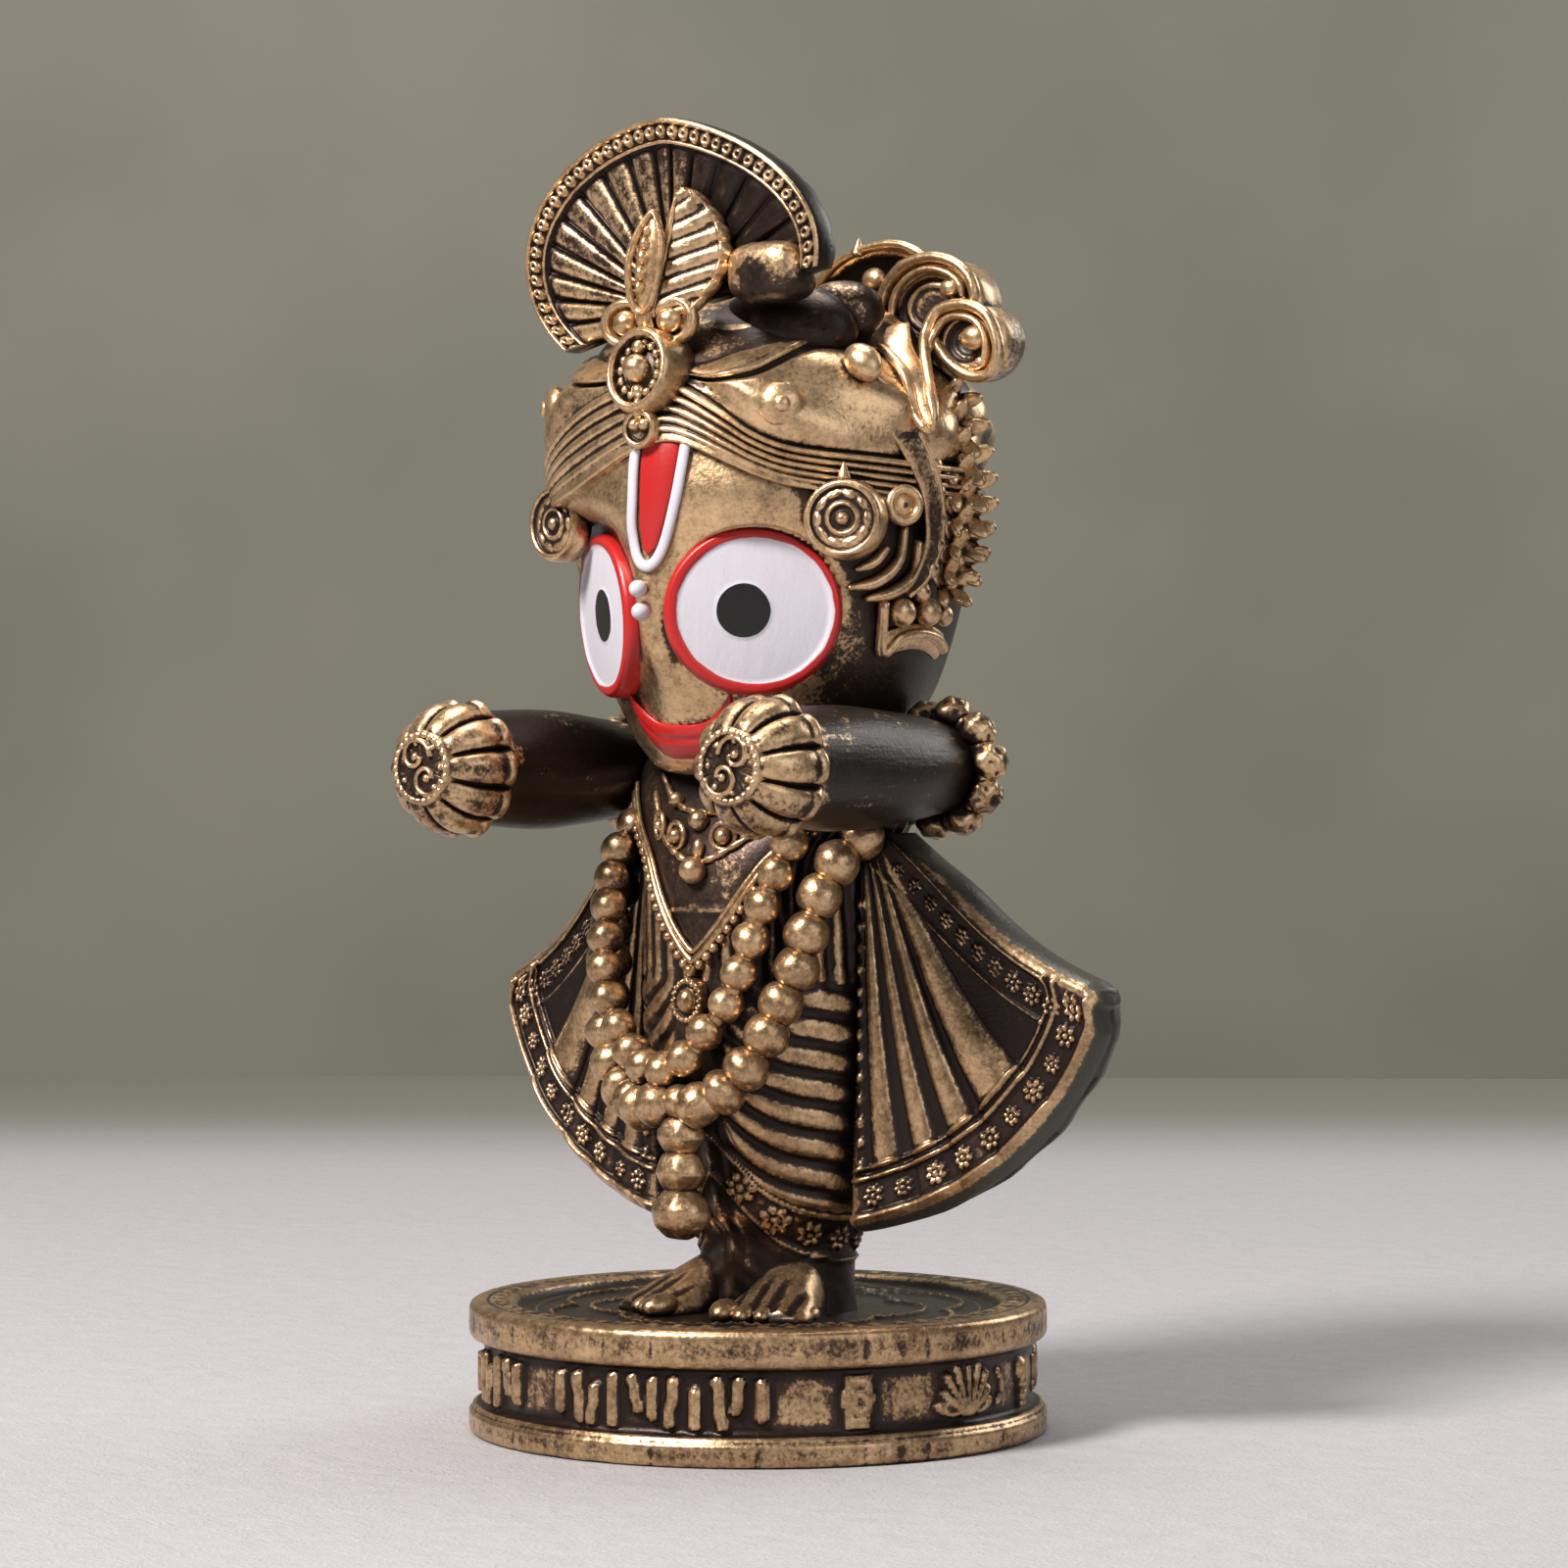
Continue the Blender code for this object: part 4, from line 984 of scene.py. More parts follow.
def wing_form():
    """A spread side of the robe. A point is polar about the shoulder, its turn growing with the share across
    and its reach with the share along; the ring of each reach goes over the front, round the outer edge and
    back. The front is raised by pleats, border lines and flowers, placed by their distance from the edges."""
    a, b, c, d, closing_rows = 190, 12, 26, 5, 9
    share = np.concatenate((steps(0.0, 1.0, a), np.ones(b), steps(1.0, 0.0, c), np.zeros(d)))[None, :]
    edge = np.linspace(0, math.pi, b + 2)[1:-1]
    rear = np.cos(np.linspace(0, math.pi, d))
    depth = np.concatenate((np.full(a, -1.0), -np.cos(edge), np.full(c, 1.0), rear))
    bulge = np.concatenate((np.zeros(a), np.sin(edge), np.zeros(c + d)))
    front = (np.arange(a + b + c + d) < a)[None, :] * 1.0
    along = np.concatenate((steps(0.0, 0.76, 84), steps(0.765, 1.0, 64)))
    roll = np.linspace(0.12, 1.45, closing_rows)
    reach = np.append(along, np.ones(closing_rows))[:, None]
    closing = np.append(np.ones(len(along)), np.cos(roll))[:, None]
    beyond = np.append(np.zeros(len(along)), np.sin(roll))[:, None]
    turn = WING_INNER + (WING_OUTER - WING_INNER) * share
    bend = WING_BEND * np.sin(math.pi * np.minimum(reach * 1.05, 1.0)) * share
    hem = WING_HEM_INNER + (WING_HEM_OUTER - WING_HEM_INNER) * share
    hem = hem + 0.5 * np.sin(math.pi * share) - 0.8 * smooth(share, 0.93, 1.0)
    angle = np.radians(turn - bend)
    out = WING_START + (hem - WING_START) * reach + 1.0 * beyond
    round_out = 1.15 * bulge * smooth(reach, 0.0, 0.4) * (1 - 0.7 * beyond)
    x = WING_HUB[0] + out * np.cos(angle) + round_out * np.sin(-angle)
    z = WING_HUB[1] + out * np.sin(angle) + round_out * np.cos(angle)
    middle = WING_Y + WING_SWEEP * np.maximum(x - WING_HUB[0], 0.0)
    y = middle + depth * closing * WING_THICK / 2
    mm_along = WING_START + (hem - WING_START) * reach
    inside = (0.99 - share) * mm_along * 0.97
    above = (1 - reach) * (hem - WING_START)
    pleats = np.full(np.broadcast(share, reach).shape, -0.7)
    crest = np.zeros(pleats.shape)
    for place, half, tall in WING_PLEATS:
        lean = (share - place) / half
        lean = np.where(lean > 0, lean * 1.25, lean * 0.9)
        pleats = np.maximum(pleats, tall * ridge(lean, 1.0) ** 0.8 - 0.65)
        crest = np.maximum(crest, 1 - np.abs(lean))
    pleats = np.maximum(pleats, 0.5 * ridge(share - 0.035, 0.035) - 0.35)
    flat = 1 - smooth(inside, 2.9, 3.3)
    pleats = pleats * (1 - flat) - 0.3 * flat
    cloth = smooth(above, 3.1, 3.9)
    relief = pleats * np.sin(0.5 * math.pi * np.minimum(reach * 1.3, 1.0)) * (0.42 + 0.58 * cloth)
    relief += cloth * (0.5 * soft_ridge(inside, 0.42) + 0.18 * soft_ridge(inside - 2.95, 0.3))
    relief += 0.42 * soft_ridge(above - 3.0, 0.36) + 0.36 * soft_ridge(above - 3.75, 0.32)
    relief += 0.55 * soft_ridge(above - 0.1, 0.5)
    for k in range(10):
        place = 0.12 + 0.081 * k
        dy = (reach - place) * (hem - WING_START)
        flower = rosette(inside - 1.5, dy, 0.6 + 0.03 * k, 7)
        relief = np.maximum(relief, -0.3 + 0.5 * flower * (flower > 0))
    for k, place in enumerate((0.07, 0.16, 0.265, 0.36, 0.46, 0.56, 0.66, 0.76, 0.86, 0.95)):
        dx = (share - place) * mm_along * 0.97
        relief += 0.42 * rosette(dx, above - 1.55, 0.72 if k in (1, 5, 7) else 0.88, 7)
    for k in range(13):
        bump = np.hypot((share - 0.035) * mm_along * 1.1, (reach - 0.16 - 0.058 * k) * hem)
        relief += 0.3 * ridge(bump, 0.52)
    relief = relief * front * smooth(reach, 0.0, 0.08)
    relief[-closing_rows:] *= np.linspace(0.8, 0.0, closing_rows)[:, None]
    back = smooth(depth, 0.2, 0.9)[None, :]
    relief = relief - back * 0.35 * np.cos(share * TURN * 5) * smooth(reach, 0.05, 0.5) * (1 - flat)
    under = np.maximum(smooth(depth, -0.98, -0.6), smooth(beyond, 0.2, 0.8))
    gilt_and_painted_light = -0.1 - 1.9 * under + front * cloth * (1.5 * crest - 0.4)
    gilt_and_painted_light = gilt_and_painted_light - 0.3 * front * (share < 0.09)
    form = Form()
    form.add(placed(x, y - relief, z), gilt_and_painted_light=gilt_and_painted_light, olive=np.clip(under * 1.3, 0, 1) + 0 * x)
    return form


# ---- Arms ----


def arm_form():
    """The stub arm: rings about an axis along Y whose radius comes from a table."""
    y = np.concatenate((steps(7.2, 5.6, 10), steps(5.4, -17.3, 60), (-17.6, -17.7)))[:, None]
    t = round_steps(96)[None, :]
    radius = eased(tuple(sorted(ARM_PROFILE)), y)
    radius = np.where(y < -17.5, radius * 0.6, radius)
    dent = 0.07 * np.sin(t * 2 + y * 0.5) + 0.05 * np.sin(t * 5 + y * 0.23)
    form = Form()
    outer = smooth(np.sin(t), -0.3, 0.7)
    form.add(
        placed(ARM_X + (radius + dent) * np.sin(t), y, ARM_Z + (radius + dent) * np.cos(t)),
        gilt_and_painted_light=-0.6 + 0 * radius * t,
        olive=0.1 * outer + 0 * radius,
    )
    return form


def cuff_form():
    """Petals round the hand: rings whose radius swells along Y and dips between petals, then the carved disc in
    front and the heavy beads of the armlet behind."""
    petals = 10
    knots = ((-22.6, 2.9), (-22.2, 3.5), (-21.3, 4.35), (-20.0, 5.0), (-18.6, 5.15), (-17.5, 5.0), (-17.0, 4.3))
    y = np.concatenate((steps(-22.6, -17.0, 32), (-16.8,)))[:, None]
    t = round_steps(280)[None, :]
    radius = eased(knots, y)
    swing = ((t * petals / TURN) % 1.0 - 0.5) * 2
    body = np.sqrt(np.clip(1 - np.abs(swing) ** 2.6, 0, 1))
    groove = 1.1 * (1 - body) * smooth(-y, 17.0, 18.0)
    tip = 0.35 * body * soft_ridge(y + 17.9, 0.8)
    radius = radius - groove + tip
    radius = np.where(y > -16.9, radius * 0.8, radius)
    form = Form()
    form.add(placed(ARM_X + radius * np.sin(t), y, ARM_Z + radius * np.cos(t)), gilt_and_painted_light=-0.4)

    def face(r, t):
        """Rope rim, then a scroll of two turning stems with buds inside it."""
        x, z = 2.75 * r * np.cos(t), 2.75 * r * np.sin(t)
        high = 0.45 * ridge(r * 2.75 - 2.45, 0.32) * (0.8 + 0.2 * np.cos(t * 26))
        for cx, cz, spin in ((0.55, 0.85, 1), (-0.55, -0.75, -1)):
            reach = np.hypot(x - cx, z - cz)
            turn = np.arctan2(z - cz, x - cx)
            arm = np.abs((reach - 0.95 - 0.16 * turn * spin))
            high = np.maximum(high, 0.4 * ridge(arm, 0.24) * (r < 0.86))
            high = np.maximum(high, 0.45 * ridge(reach, 0.36))
        for k in range(7):
            a = TURN * k / 7 + 0.4
            bud = np.hypot(x - 1.85 * math.cos(a), z - 1.85 * math.sin(a))
            high = np.maximum(high, 0.3 * ridge(bud, 0.25))
        return high

    form.add(medallion((ARM_X, -22.55, ARM_Z), axes(0.0), (2.85, 2.85), 1.4, face, 42, 110), gilt_and_painted_light=0.1)
    count = 10
    for k in range(count):
        turn = TURN * (k + 0.3) / count
        out = np.array((math.sin(turn), 0.0, math.cos(turn)))
        place = np.array((ARM_X, ARMLET_Y, ARM_Z)) + out * (ARMLET_RADIUS + 0.05)
        lump = bead(place, (1.45, 1.55, 1.25), out, 30, 20)
        ripple = 0.16 * np.sin(lump[..., 0] * 3.1 + k) * np.sin(lump[..., 1] * 3.7) * np.sin(lump[..., 2] * 3.3)
        form.add(lump, ripple, gilt_and_painted_light=-0.95 + 0.45 * np.sum((lump - place) * out, -1))
    s, t = round_steps(120)[:, None], round_steps(16)[None, :]
    ring = (ARMLET_RADIUS - 0.4) + 0.85 * np.cos(t)
    form.add(
        placed(ARM_X + ring * np.sin(s), ARMLET_Y + 0.85 * np.sin(t), ARM_Z + ring * np.cos(s)),
        gilt_and_painted_light=-0.6,
        loop=True,
    )
    return form


# ---- Head, turban and face ----


def turban_height(angle, share):
    """Height on the head: share 0 to 1 is the face, then come the band, the roll and the top."""
    degrees = np.degrees((angle + math.pi) % TURN - math.pi)
    low = np.full(degrees.shape, HEAD_PROFILE[0][0])
    marks = [low] + [eased(TURBAN_EDGES, degrees, k) for k in (1, 2, 3)] + [low * 0 + HEAD_PROFILE[-1][0]]
    marks = np.stack(np.broadcast_arrays(*marks), 0)
    zone = np.clip(share.astype(int), 0, 3)
    zone, share, degrees = np.broadcast_arrays(zone, share, degrees)
    marks = np.broadcast_to(marks, (5,) + zone.shape)
    bottom = np.take_along_axis(marks, zone[None], 0)[0]
    top = np.take_along_axis(marks, zone[None] + 1, 0)[0]
    return bottom + (top - bottom) * (share - zone)


def head_form():
    """The bare head: circles of the profile's radius, with a low nose and a flattened seat under each eye."""
    height = np.concatenate((steps(50.2, 52.0, 8), steps(52.2, 76.0, 96), (78.0, 80.0, 83.5, 85.0)))[:, None]
    angle = round_steps(220)[None, :]
    grid = head_place(angle, height)
    signed = np.degrees((angle + math.pi) % TURN - math.pi)
    nose = 0.5 * soft_ridge(signed / 7.0, 1.0) * smooth(height, 57.5, 60.0) * (1 - smooth(height, 64.0, 68.0))
    bow = 0.12 * np.sin(height * 0.9) * np.sin(np.radians(signed) * 3)
    for side in (-1, 1):
        middle, across, out = eye_frame(side)
        dx, dy = (grid - middle) @ across, grid[..., 2] - EYE_HEIGHT
        proud = (grid - middle) @ out - EYE_LEAN * dy + 0.5
        seat = 1 - smooth(np.hypot(dx / EYE_WIDE, dy / EYE_TALL), *EYE_PLACES[side][2:])
        seat = seat * (1 - smooth(height, 69.3, 72.6))
        proud = 0.5 * (proud + np.sqrt(proud**2 + 0.5))
        grid = grid - (proud * seat * smooth((grid - middle) @ out, -5.0, -2.0))[..., None] * out
    form = Form()
    gilt_and_painted_light = 0.95 * (1 - smooth(np.abs(signed), 26.0, 66.0)) - 0.3
    gilt_and_painted_light = gilt_and_painted_light - 0.5 * smooth(np.abs(signed), 56.0, 90.0) - 0.5 * (1 - smooth(height, 54.0, 59.5))
    form.add(grid, nose + bow, gilt_and_painted_light, olive=0.5 * smooth(np.abs(signed), 85.0, 125.0))
    return form


def turban_form():
    """The turban: the head's circles stood out by strands that sweep round the band, by the padded roll with
    its creases and by the cloth of the top."""
    inside = np.array((0.97, 0.99))
    share = np.concatenate((inside, steps(1.0, 2.0, 56), steps(2.02, 3.0, 50), steps(3.03, 4.0, 20)))[:, None]
    angle = round_steps(300)[None, :]
    height = turban_height(angle, share)
    signed = np.degrees((angle + math.pi) % TURN - math.pi)
    degrees = np.abs(signed)
    band = share - 1.0
    lift = np.zeros(height.shape)
    strands = np.zeros(height.shape)
    for place, half, tall in (
        (0.06, 0.075, 0.62),
        (0.22, 0.075, 0.8),
        (0.38, 0.08, 0.95),
        (0.55, 0.085, 1.05),
        (0.73, 0.085, 1.15),
        (0.91, 0.09, 1.3),
    ):
        strands = np.maximum(strands, tall * (0.5 + 0.5 * ridge(band - place, half)))
    tall = turban_height(angle, share * 0 + 3.0) - turban_height(angle, share * 0 + 2.0)
    roll = np.clip(share - 2.0, 0.0, 1.0)
    puff = 0.5 + 1.3 * np.sin(math.pi * roll) ** 0.6 * np.minimum(tall / 5.0, 1.0)
    # A crease climbs from the jewel to the knot and parts a narrow upper fold from the broad one
    crease = roll - (0.42 + 0.55 * smooth(degrees, 14.0, 58.0))
    puff = puff - 0.55 * soft_ridge(crease, 0.07) + 0.28 * soft_ridge(crease - 0.1, 0.06)
    puff = puff + 0.3 * np.sin((roll * 2.2 + degrees / 22.0) * math.pi) * np.sin(math.pi * roll)
    puff = puff + 0.18 * np.sin((roll * 1.4 - degrees / 9.0) * math.pi) * smooth(degrees, 60, 90)
    top = np.clip(share - 3.0, 0.0, 1.0)
    cloth = 0.55 * (1 - top) + 0.4 * np.sin(np.radians(signed) * 7 + top * 5) * np.sin(math.pi * top)
    lift = np.where(share < 2.0, strands * smooth(band, -0.02, 0.04), np.where(share < 3.0, puff, cloth))
    grid = head_place(angle, height, lift)
    grid[:2] = head_place(angle, height[:2], np.array(((-6.0,), (-3.5,))))
    form = Form()
    gilt_and_painted_light = np.where(share < 2.0, 0.12, 0.22) - 0.55 * (share > 3.0) - 0.35 * smooth(degrees, 70.0, 120.0)
    form.add(grid, gilt_and_painted_light=gilt_and_painted_light + 0 * height, olive=0.8 * smooth(degrees, 90.0, 130.0))
    return form


def eye_frame(side):
    """Middle, across and out directions of an eye's disc: it sits at EYE_TURN on the head but faces further
    round, so that its edge stands prouder by the nose."""
    facing, reach = EYE_PLACES[side][:2]
    turn, facing = side * math.radians(EYE_TURN), side * math.radians(facing)
    middle = np.array((reach * math.sin(turn), 1.4 - reach * math.cos(turn), EYE_HEIGHT))
    across = np.array((math.cos(facing), math.sin(facing), 0.0))
    return middle, across, np.array((math.sin(facing), -math.cos(facing), 0.0))


def eye_form():
    """A thick painted disc on each cheek: the polar grid (r cos t, r sin t) in the eye's own plane, leaning out
    with height, with a raised rim and a rounded side. Its UV map is the place in millimetres."""
    form = Form()
    for side in (-1, 1):
        middle, across, out = eye_frame(side)
        r = np.concatenate((np.linspace(0.02, 0.94, 36), np.linspace(0.95, 1.0, 9), (1.0, 1.0, 0.9)))[:, None]
        t = round_steps(150)[None, :]
        x, y = EYE_WIDE * r * np.cos(t), EYE_TALL * r * np.sin(t)
        edge = np.sqrt(np.clip(1 - ((r - 0.94) / 0.06) ** 2, 0, 1)) * (r > 0.94) + (r <= 0.94)
        lift = 0.3 * (1 - r**2) + 0.2 * smooth(r, 0.84, 0.89) + 0.1
        pupil = np.hypot(x * side - PUPIL_SHIFT, y)
        lift = np.where(r > 0.94, (lift + 0.4) * edge - 0.4, lift) + 0.08 * (1 - smooth(pupil, 2.0, 2.2))
        lift[-3:] = ((-0.9,), (-3.4,), (-3.6,))
        grid = middle + x[..., None] * across + (lift + EYE_LEAN * y)[..., None] * out
        grid[..., 2] += y
        form.add(grid, uv=np.stack((x * side, y), -1))
    return form


def brow_mark_form(part):
    """The painted mark on the brow: a flattened rod along a U, or the sheet inside it."""
    form = Form()
    knots = (
        (0.9, 75.9), (0.5, 74.2), (0.0, 71.8), (-0.8, 69.4), (0.3, 67.5), (3.3, 66.6), (6.8, 67.1),
        (10.2, 68.9), (13.3, 71.5), (15.2, 74.0), (16.2, 75.9),
    )
    if part == "line":
        points = drawn(head_place, knots, 100, 0.28)
        form.add(rod(points, 0.44, 12, 0.62, up=away(points, (0, 1.2))))
        return form
    height = steps(67.5, 76.4, 40)[:, None]
    left = np.interp(height, (67.5, 68.0, 69.4, 71.8, 74.2, 76.4), (3.6, 2.0, 1.5, 2.0, 2.4, 2.8))
    right = np.interp(height, (67.5, 68.0, 69.4, 71.5, 74.0, 76.4), (4.6, 6.6, 8.7, 11.4, 13.3, 14.6))
    t = round_steps(40)[None, :]
    across = (left + right) / 2 + (right - left) / 2 * np.cos(t)
    form.add(head_place(np.radians(across), height, 0.1 + 0.28 * np.sin(t)))
    return form


def smile_form():
    """The broad painted smile: a sheet on the face between an upper and a lower curve over the angle."""
    form = Form()
    degrees = steps(-28.5, 28.5, 100)[:, None]
    far = np.abs(degrees) / 28.5
    upper = 54.7 + 5.4 * far**3.4
    lower = 52.1 + 5.4 * far**6
    t = round_steps(48)[None, :]
    half = (upper - lower) / 2 * np.sqrt(1 - 0.99 * far**10)
    height = (upper + lower) / 2 + half * np.cos(t)
    lift = 0.1 + 0.45 * np.sin(t) * (1 - 0.8 * far**6) - 1.6 * smooth(far, 0.8, 0.92)
    crease = 0.16 * soft_ridge(height - (upper + lower) / 2 - 0.2, 0.35) * (np.sin(t) > 0) * (1 - far**3)
    form.add(head_place(np.radians(degrees), height, lift - crease))
    return form


def nose_bead_form():
    """Two small white beads, one above the other, between the eyes."""
    form = Form()
    for angle, height, size in ((2.0, 64.9, 0.66), (1.7, 63.2, 0.7)):
        place = head_place(np.radians(angle), np.array(height), 0.75)
        form.add(bead(place, (size, size, size * 1.1), (0, -1, 0), 20, 12))
    return form


# ---- Crest over the forehead ----


def fan_form():
    """The pleated fan: rows are turns about the hub, and each row's ring runs out over the ribs, the beaded rim
    and its flange and comes back behind. Ribs are rounded ridges with narrow grooves between them."""
    rows = steps(0.0, 1.0, 350)
    angle = np.radians(FAN_FIRST + (FAN_LAST - FAN_FIRST) * rows)[:, None]
    cosine = np.cos(angle)
    point = np.where(cosine < 0, FAN_POINT, FAN_POINT_LEFT)
    wide = FAN_WIDE * np.sign(cosine) * np.abs(cosine) ** point
    outer_x, outer_z = FAN_MIDDLE[0] + wide, FAN_MIDDLE[1] + FAN_TALL * np.sin(angle)
    dx, dz = outer_x - FAN_HUB_PLACE[0], outer_z - FAN_HUB_PLACE[1]
    whole = np.hypot(dx, dz)
    run = np.append(0, np.cumsum(np.hypot(np.diff(outer_x[:, 0]), np.diff(outer_z[:, 0]))))[:, None]
    share = np.concatenate((steps(0.0, 1.0, 44), np.linspace(1, 1, 30), (1.0,) * 6, np.linspace(1.0, 0.0, 14)))
    a, b = 44, 30
    inner = whole - FAN_RIM
    reach = np.where(np.arange(len(share)) < a, 2.6 + (inner - 2.6) * share, inner)
    over = np.linspace(0, FAN_RIM, b)
    reach[:, a : a + b] = inner + over
    reach[:, a + b : a + b + 6] = whole + 0.12 * np.sin(np.linspace(0.4, 2.7, 6))
    reach[:, a + b + 6 :] = 2.6 + (whole - 2.6) * share[a + b + 6 :]
    rib = (rows[:, None] * FAN_RIBS) % 1.0
    body = np.sqrt(np.clip(1 - np.abs(2 * rib - 1) ** 3.0, 0, 1))
    out = np.zeros(reach.shape)
    taper = smooth(reach[:, :a], 2.6, 6.0)
    out[:, :a] = (0.95 * body - 0.75) * taper * (1 - 0.5 * smooth(reach[:, :a], inner - 0.7, inner))
    radial = over[None, :]
    rim = 0.25 + 0.5 * ridge(radial - FAN_RIM + 0.2, 0.24) + 0.25 * ridge(radial - 0.12, 0.2)
    spacing = 1.18
    along = (run % spacing) - spacing / 2
    knob = np.hypot(along, radial - 0.92)
    rim = np.maximum(rim, 0.3 + 0.62 * ridge(knob, 0.56) - 0.34 * ridge(knob, 0.26))
    out[:, a : a + b] = rim
    out[:, a + b : a + b + 6] = np.linspace(0.45, -FAN_THICK + 0.2, 6)
    out[:, a + b + 6 :] = -FAN_THICK + 0.15 * np.cos(math.pi * 2 * rib) * smooth(reach[:, a + b + 6 :], 3, 8)
    x = FAN_HUB_PLACE[0] + dx / whole * reach
    z = FAN_HUB_PLACE[1] + dz / whole * reach
    y = FAN_FRONT - out - FAN_LEAN * (z - 90.0)
    form = Form()
    gilt_and_painted_light = np.full(reach.shape, 0.1) - 0.75 * smooth(cosine, 0.1, 0.7)
    gilt_and_painted_light[:, :a] -= 0.6
    gilt_and_painted_light[:, a : a + b] += 0.3 * smooth(cosine, 0.1, 0.7)
    gilt_and_painted_light[:, a + b :] = -1.0 - 0.5 * smooth(cosine, 0.1, 0.7)
    behind = (np.arange(reach.shape[1]) > a + b + 3)[None, :] * 0.8
    form.add(placed(x, y, z), gilt_and_painted_light=gilt_and_painted_light, olive=behind + 0 * reach)
    return form


def leaf_form():
    """The leaf before the fan, folded about its middle line: rings across it at each height, its left half
    with a lancet of beads and its right half with scalloped ribs."""
    share = steps(0.0, 1.0, 72)[:, None]
    t = np.linspace(-1.0, 1.0, 88)[None, :]
    half = 0.35 + 3.9 * np.sin(math.pi * np.minimum(0.13 + 0.87 * share, 1.0)) ** 0.75
    scallop = 0.26 * np.abs(np.sin(share * math.pi * 7.0)) * (t > 0)
    x = 1.1 + 1.7 * share + np.where(t > 0, 1.0, 0.5) * (half + scallop) * t
    fold = np.abs(t) * half * 0.5
    y = -14.3 + 1.1 * share + fold
    z = 85.4 + 9.8 * share + 0 * t
    ribs = (share * 7.0 - np.abs(t) * 1.1) % 1.0
    right = (t > 0.06) * (0.5 * np.sqrt(np.clip(1 - np.abs(2 * ribs - 1) ** 2.6, 0, 1)) - 0.1)
    lancet = np.hypot((t + 0.5) / 0.34, (share - 0.47) / 0.4)
    left = (t < 0) * (0.45 * ridge(lancet - 1.0, 0.2) + 0.4 * ridge(t + 0.5, 0.1) * (lancet < 0.8) * (
        0.55 + 0.45 * np.cos(share * 55)))
    left = left + (t < 0) * (lancet > 1.25) * 0.28 * np.abs(np.sin(share * math.pi * 9))
    spine = 0.35 * ridge(t, 0.06)
    ends = smooth(share, 0.0, 0.05) * (1 - smooth(share, 0.95, 1.0))
    relief = np.maximum(np.maximum(right, left), spine) * ends
    relief = relief * (1 - smooth(np.abs(t), 0.94, 1.0)) + 0.2 * ridge(np.abs(t) - 0.93, 0.06)
    front = placed(x, y - relief, z)
    back = placed(x, y + 1.0 - 0.6 * np.abs(t), z)[:, ::-1]
    form = Form()
    form.add(np.concatenate((front, back), 1), gilt_and_painted_light=0.1)
    turn = round_steps(90)
    middle, lean = np.array((0.95, -15.2, 89.5)), 0.16
    x, z = 1.25 * np.cos(turn) * (1 - 0.5 * np.maximum(np.sin(turn), 0) ** 3), 3.7 * np.sin(turn)
    ring = middle + np.stack((x + lean * z, 0.25 * x + 0.1 * np.abs(z) - 0.1, z), -1)
    radial = np.stack((np.cos(turn), 0 * turn, np.sin(turn)), -1)
    form.add(hoop(ring, radial, 0.28, (0, -1.2, 0), 10), loop=True, gilt_and_painted_light=0.1)
    form.add(bead(middle + (0, 0.5, 0), (1.1, 0.7, 3.5), (lean, 0.0, 1.0), 30, 20), gilt_and_painted_light=-0.35)
    for place, size in ((-1.9, 0.5), (-0.8, 0.62), (0.35, 0.6), (1.4, 0.5), (2.3, 0.38)):
        spot = middle + (lean * place, -0.1, place)
        form.add(bead(spot, (size, size * 0.8, size), (0, -1, 0), 16, 10), gilt_and_painted_light=0.2)
    return form


def jewel_form():
    """The oval jewel over the brow with its bow of two pearls, knot and drop."""
    form = Form()

    def oval(r, t):
        """A thick plain rim, a ring of small beads in the hollow and a pearl on its seat."""
        high = 0.85 * ridge(r - 0.87, 0.14)
        count = 15
        swing = ((t * count / TURN) % 1.0 - 0.5) * TURN / count * 2.6 * r
        high = np.maximum(high, 0.5 * ridge(np.hypot(swing, (r - 0.6) * 2.9), 0.36))
        return np.maximum(high, 0.35 * ridge(r, 0.5))

    middle = np.array((0.9, -15.5, 81.3))
    form.add(medallion(middle, axes(0.0, 9.0), (3.0, 3.35), 3.0, oval, 38, 120), gilt_and_painted_light=0.15)
    form.add(bead(middle + (0, -0.6, 0.15), (1.08, 1.15, 1.0), (0, -1, 0), 24, 14), gilt_and_painted_light=0.4)
    for lift, size in ((1.75, 0.55), (-1.55, 0.6), (-2.1, 0.35)):
        form.add(bead(middle + (0, -0.3, lift), (size, size, size), (0, -1, 0), 14, 9), gilt_and_painted_light=0.3)
    for side in (-1, 1):
        t = round_steps(60)
        radial = np.stack((np.cos(t), 0 * t, np.sin(t)), -1)
        ring = (side * 2.2, -13.4, 85.2) + np.stack((1.75 * np.cos(t), 0.35 * np.cos(t), 1.55 * np.sin(t)), -1)
        form.add(hoop(ring, radial, 0.42, (0, -1.4, 0)), loop=True, gilt_and_painted_light=0.1)
        form.add(bead((side * 2.1, -13.6, 85.2), (1.02, 1.05, 1.0), (0, -1, 0), 22, 13), gilt_and_painted_light=0.4)
        form.add(bead((side * 2.1, -12.6, 85.2), (1.7, 1.5, 0.7), (0, -1, 0), 18, 9), gilt_and_painted_light=-0.3)
    form.add(bead((0.0, -13.9, 86.1), (0.85, 0.8, 1.75), (0, 0, 1), 20, 14), gilt_and_painted_light=0.3)

    def clasp(r, t):
        """A low rim round a seat."""
        return 0.4 * ridge(r - 0.82, 0.2)

    form.add(medallion((1.1, -15.9, 76.9), axes(4.0), (1.5, 1.5), 2.6, clasp, 24, 60), gilt_and_painted_light=0.1)
    for x in (-0.45, 0.5):
        form.add(bead((x + 1.1, -16.0, 77.2), (0.5, 0.5, 0.5), (0, -1, 0), 14, 9), gilt_and_painted_light=0.4)
    form.add(bead((1.0, -15.8, 78.4), (1.0, 0.5, 0.7), (0, -1, 0), 16, 9), gilt_and_painted_light=0.3)
    return form


# ---- Ears and the left temple ----


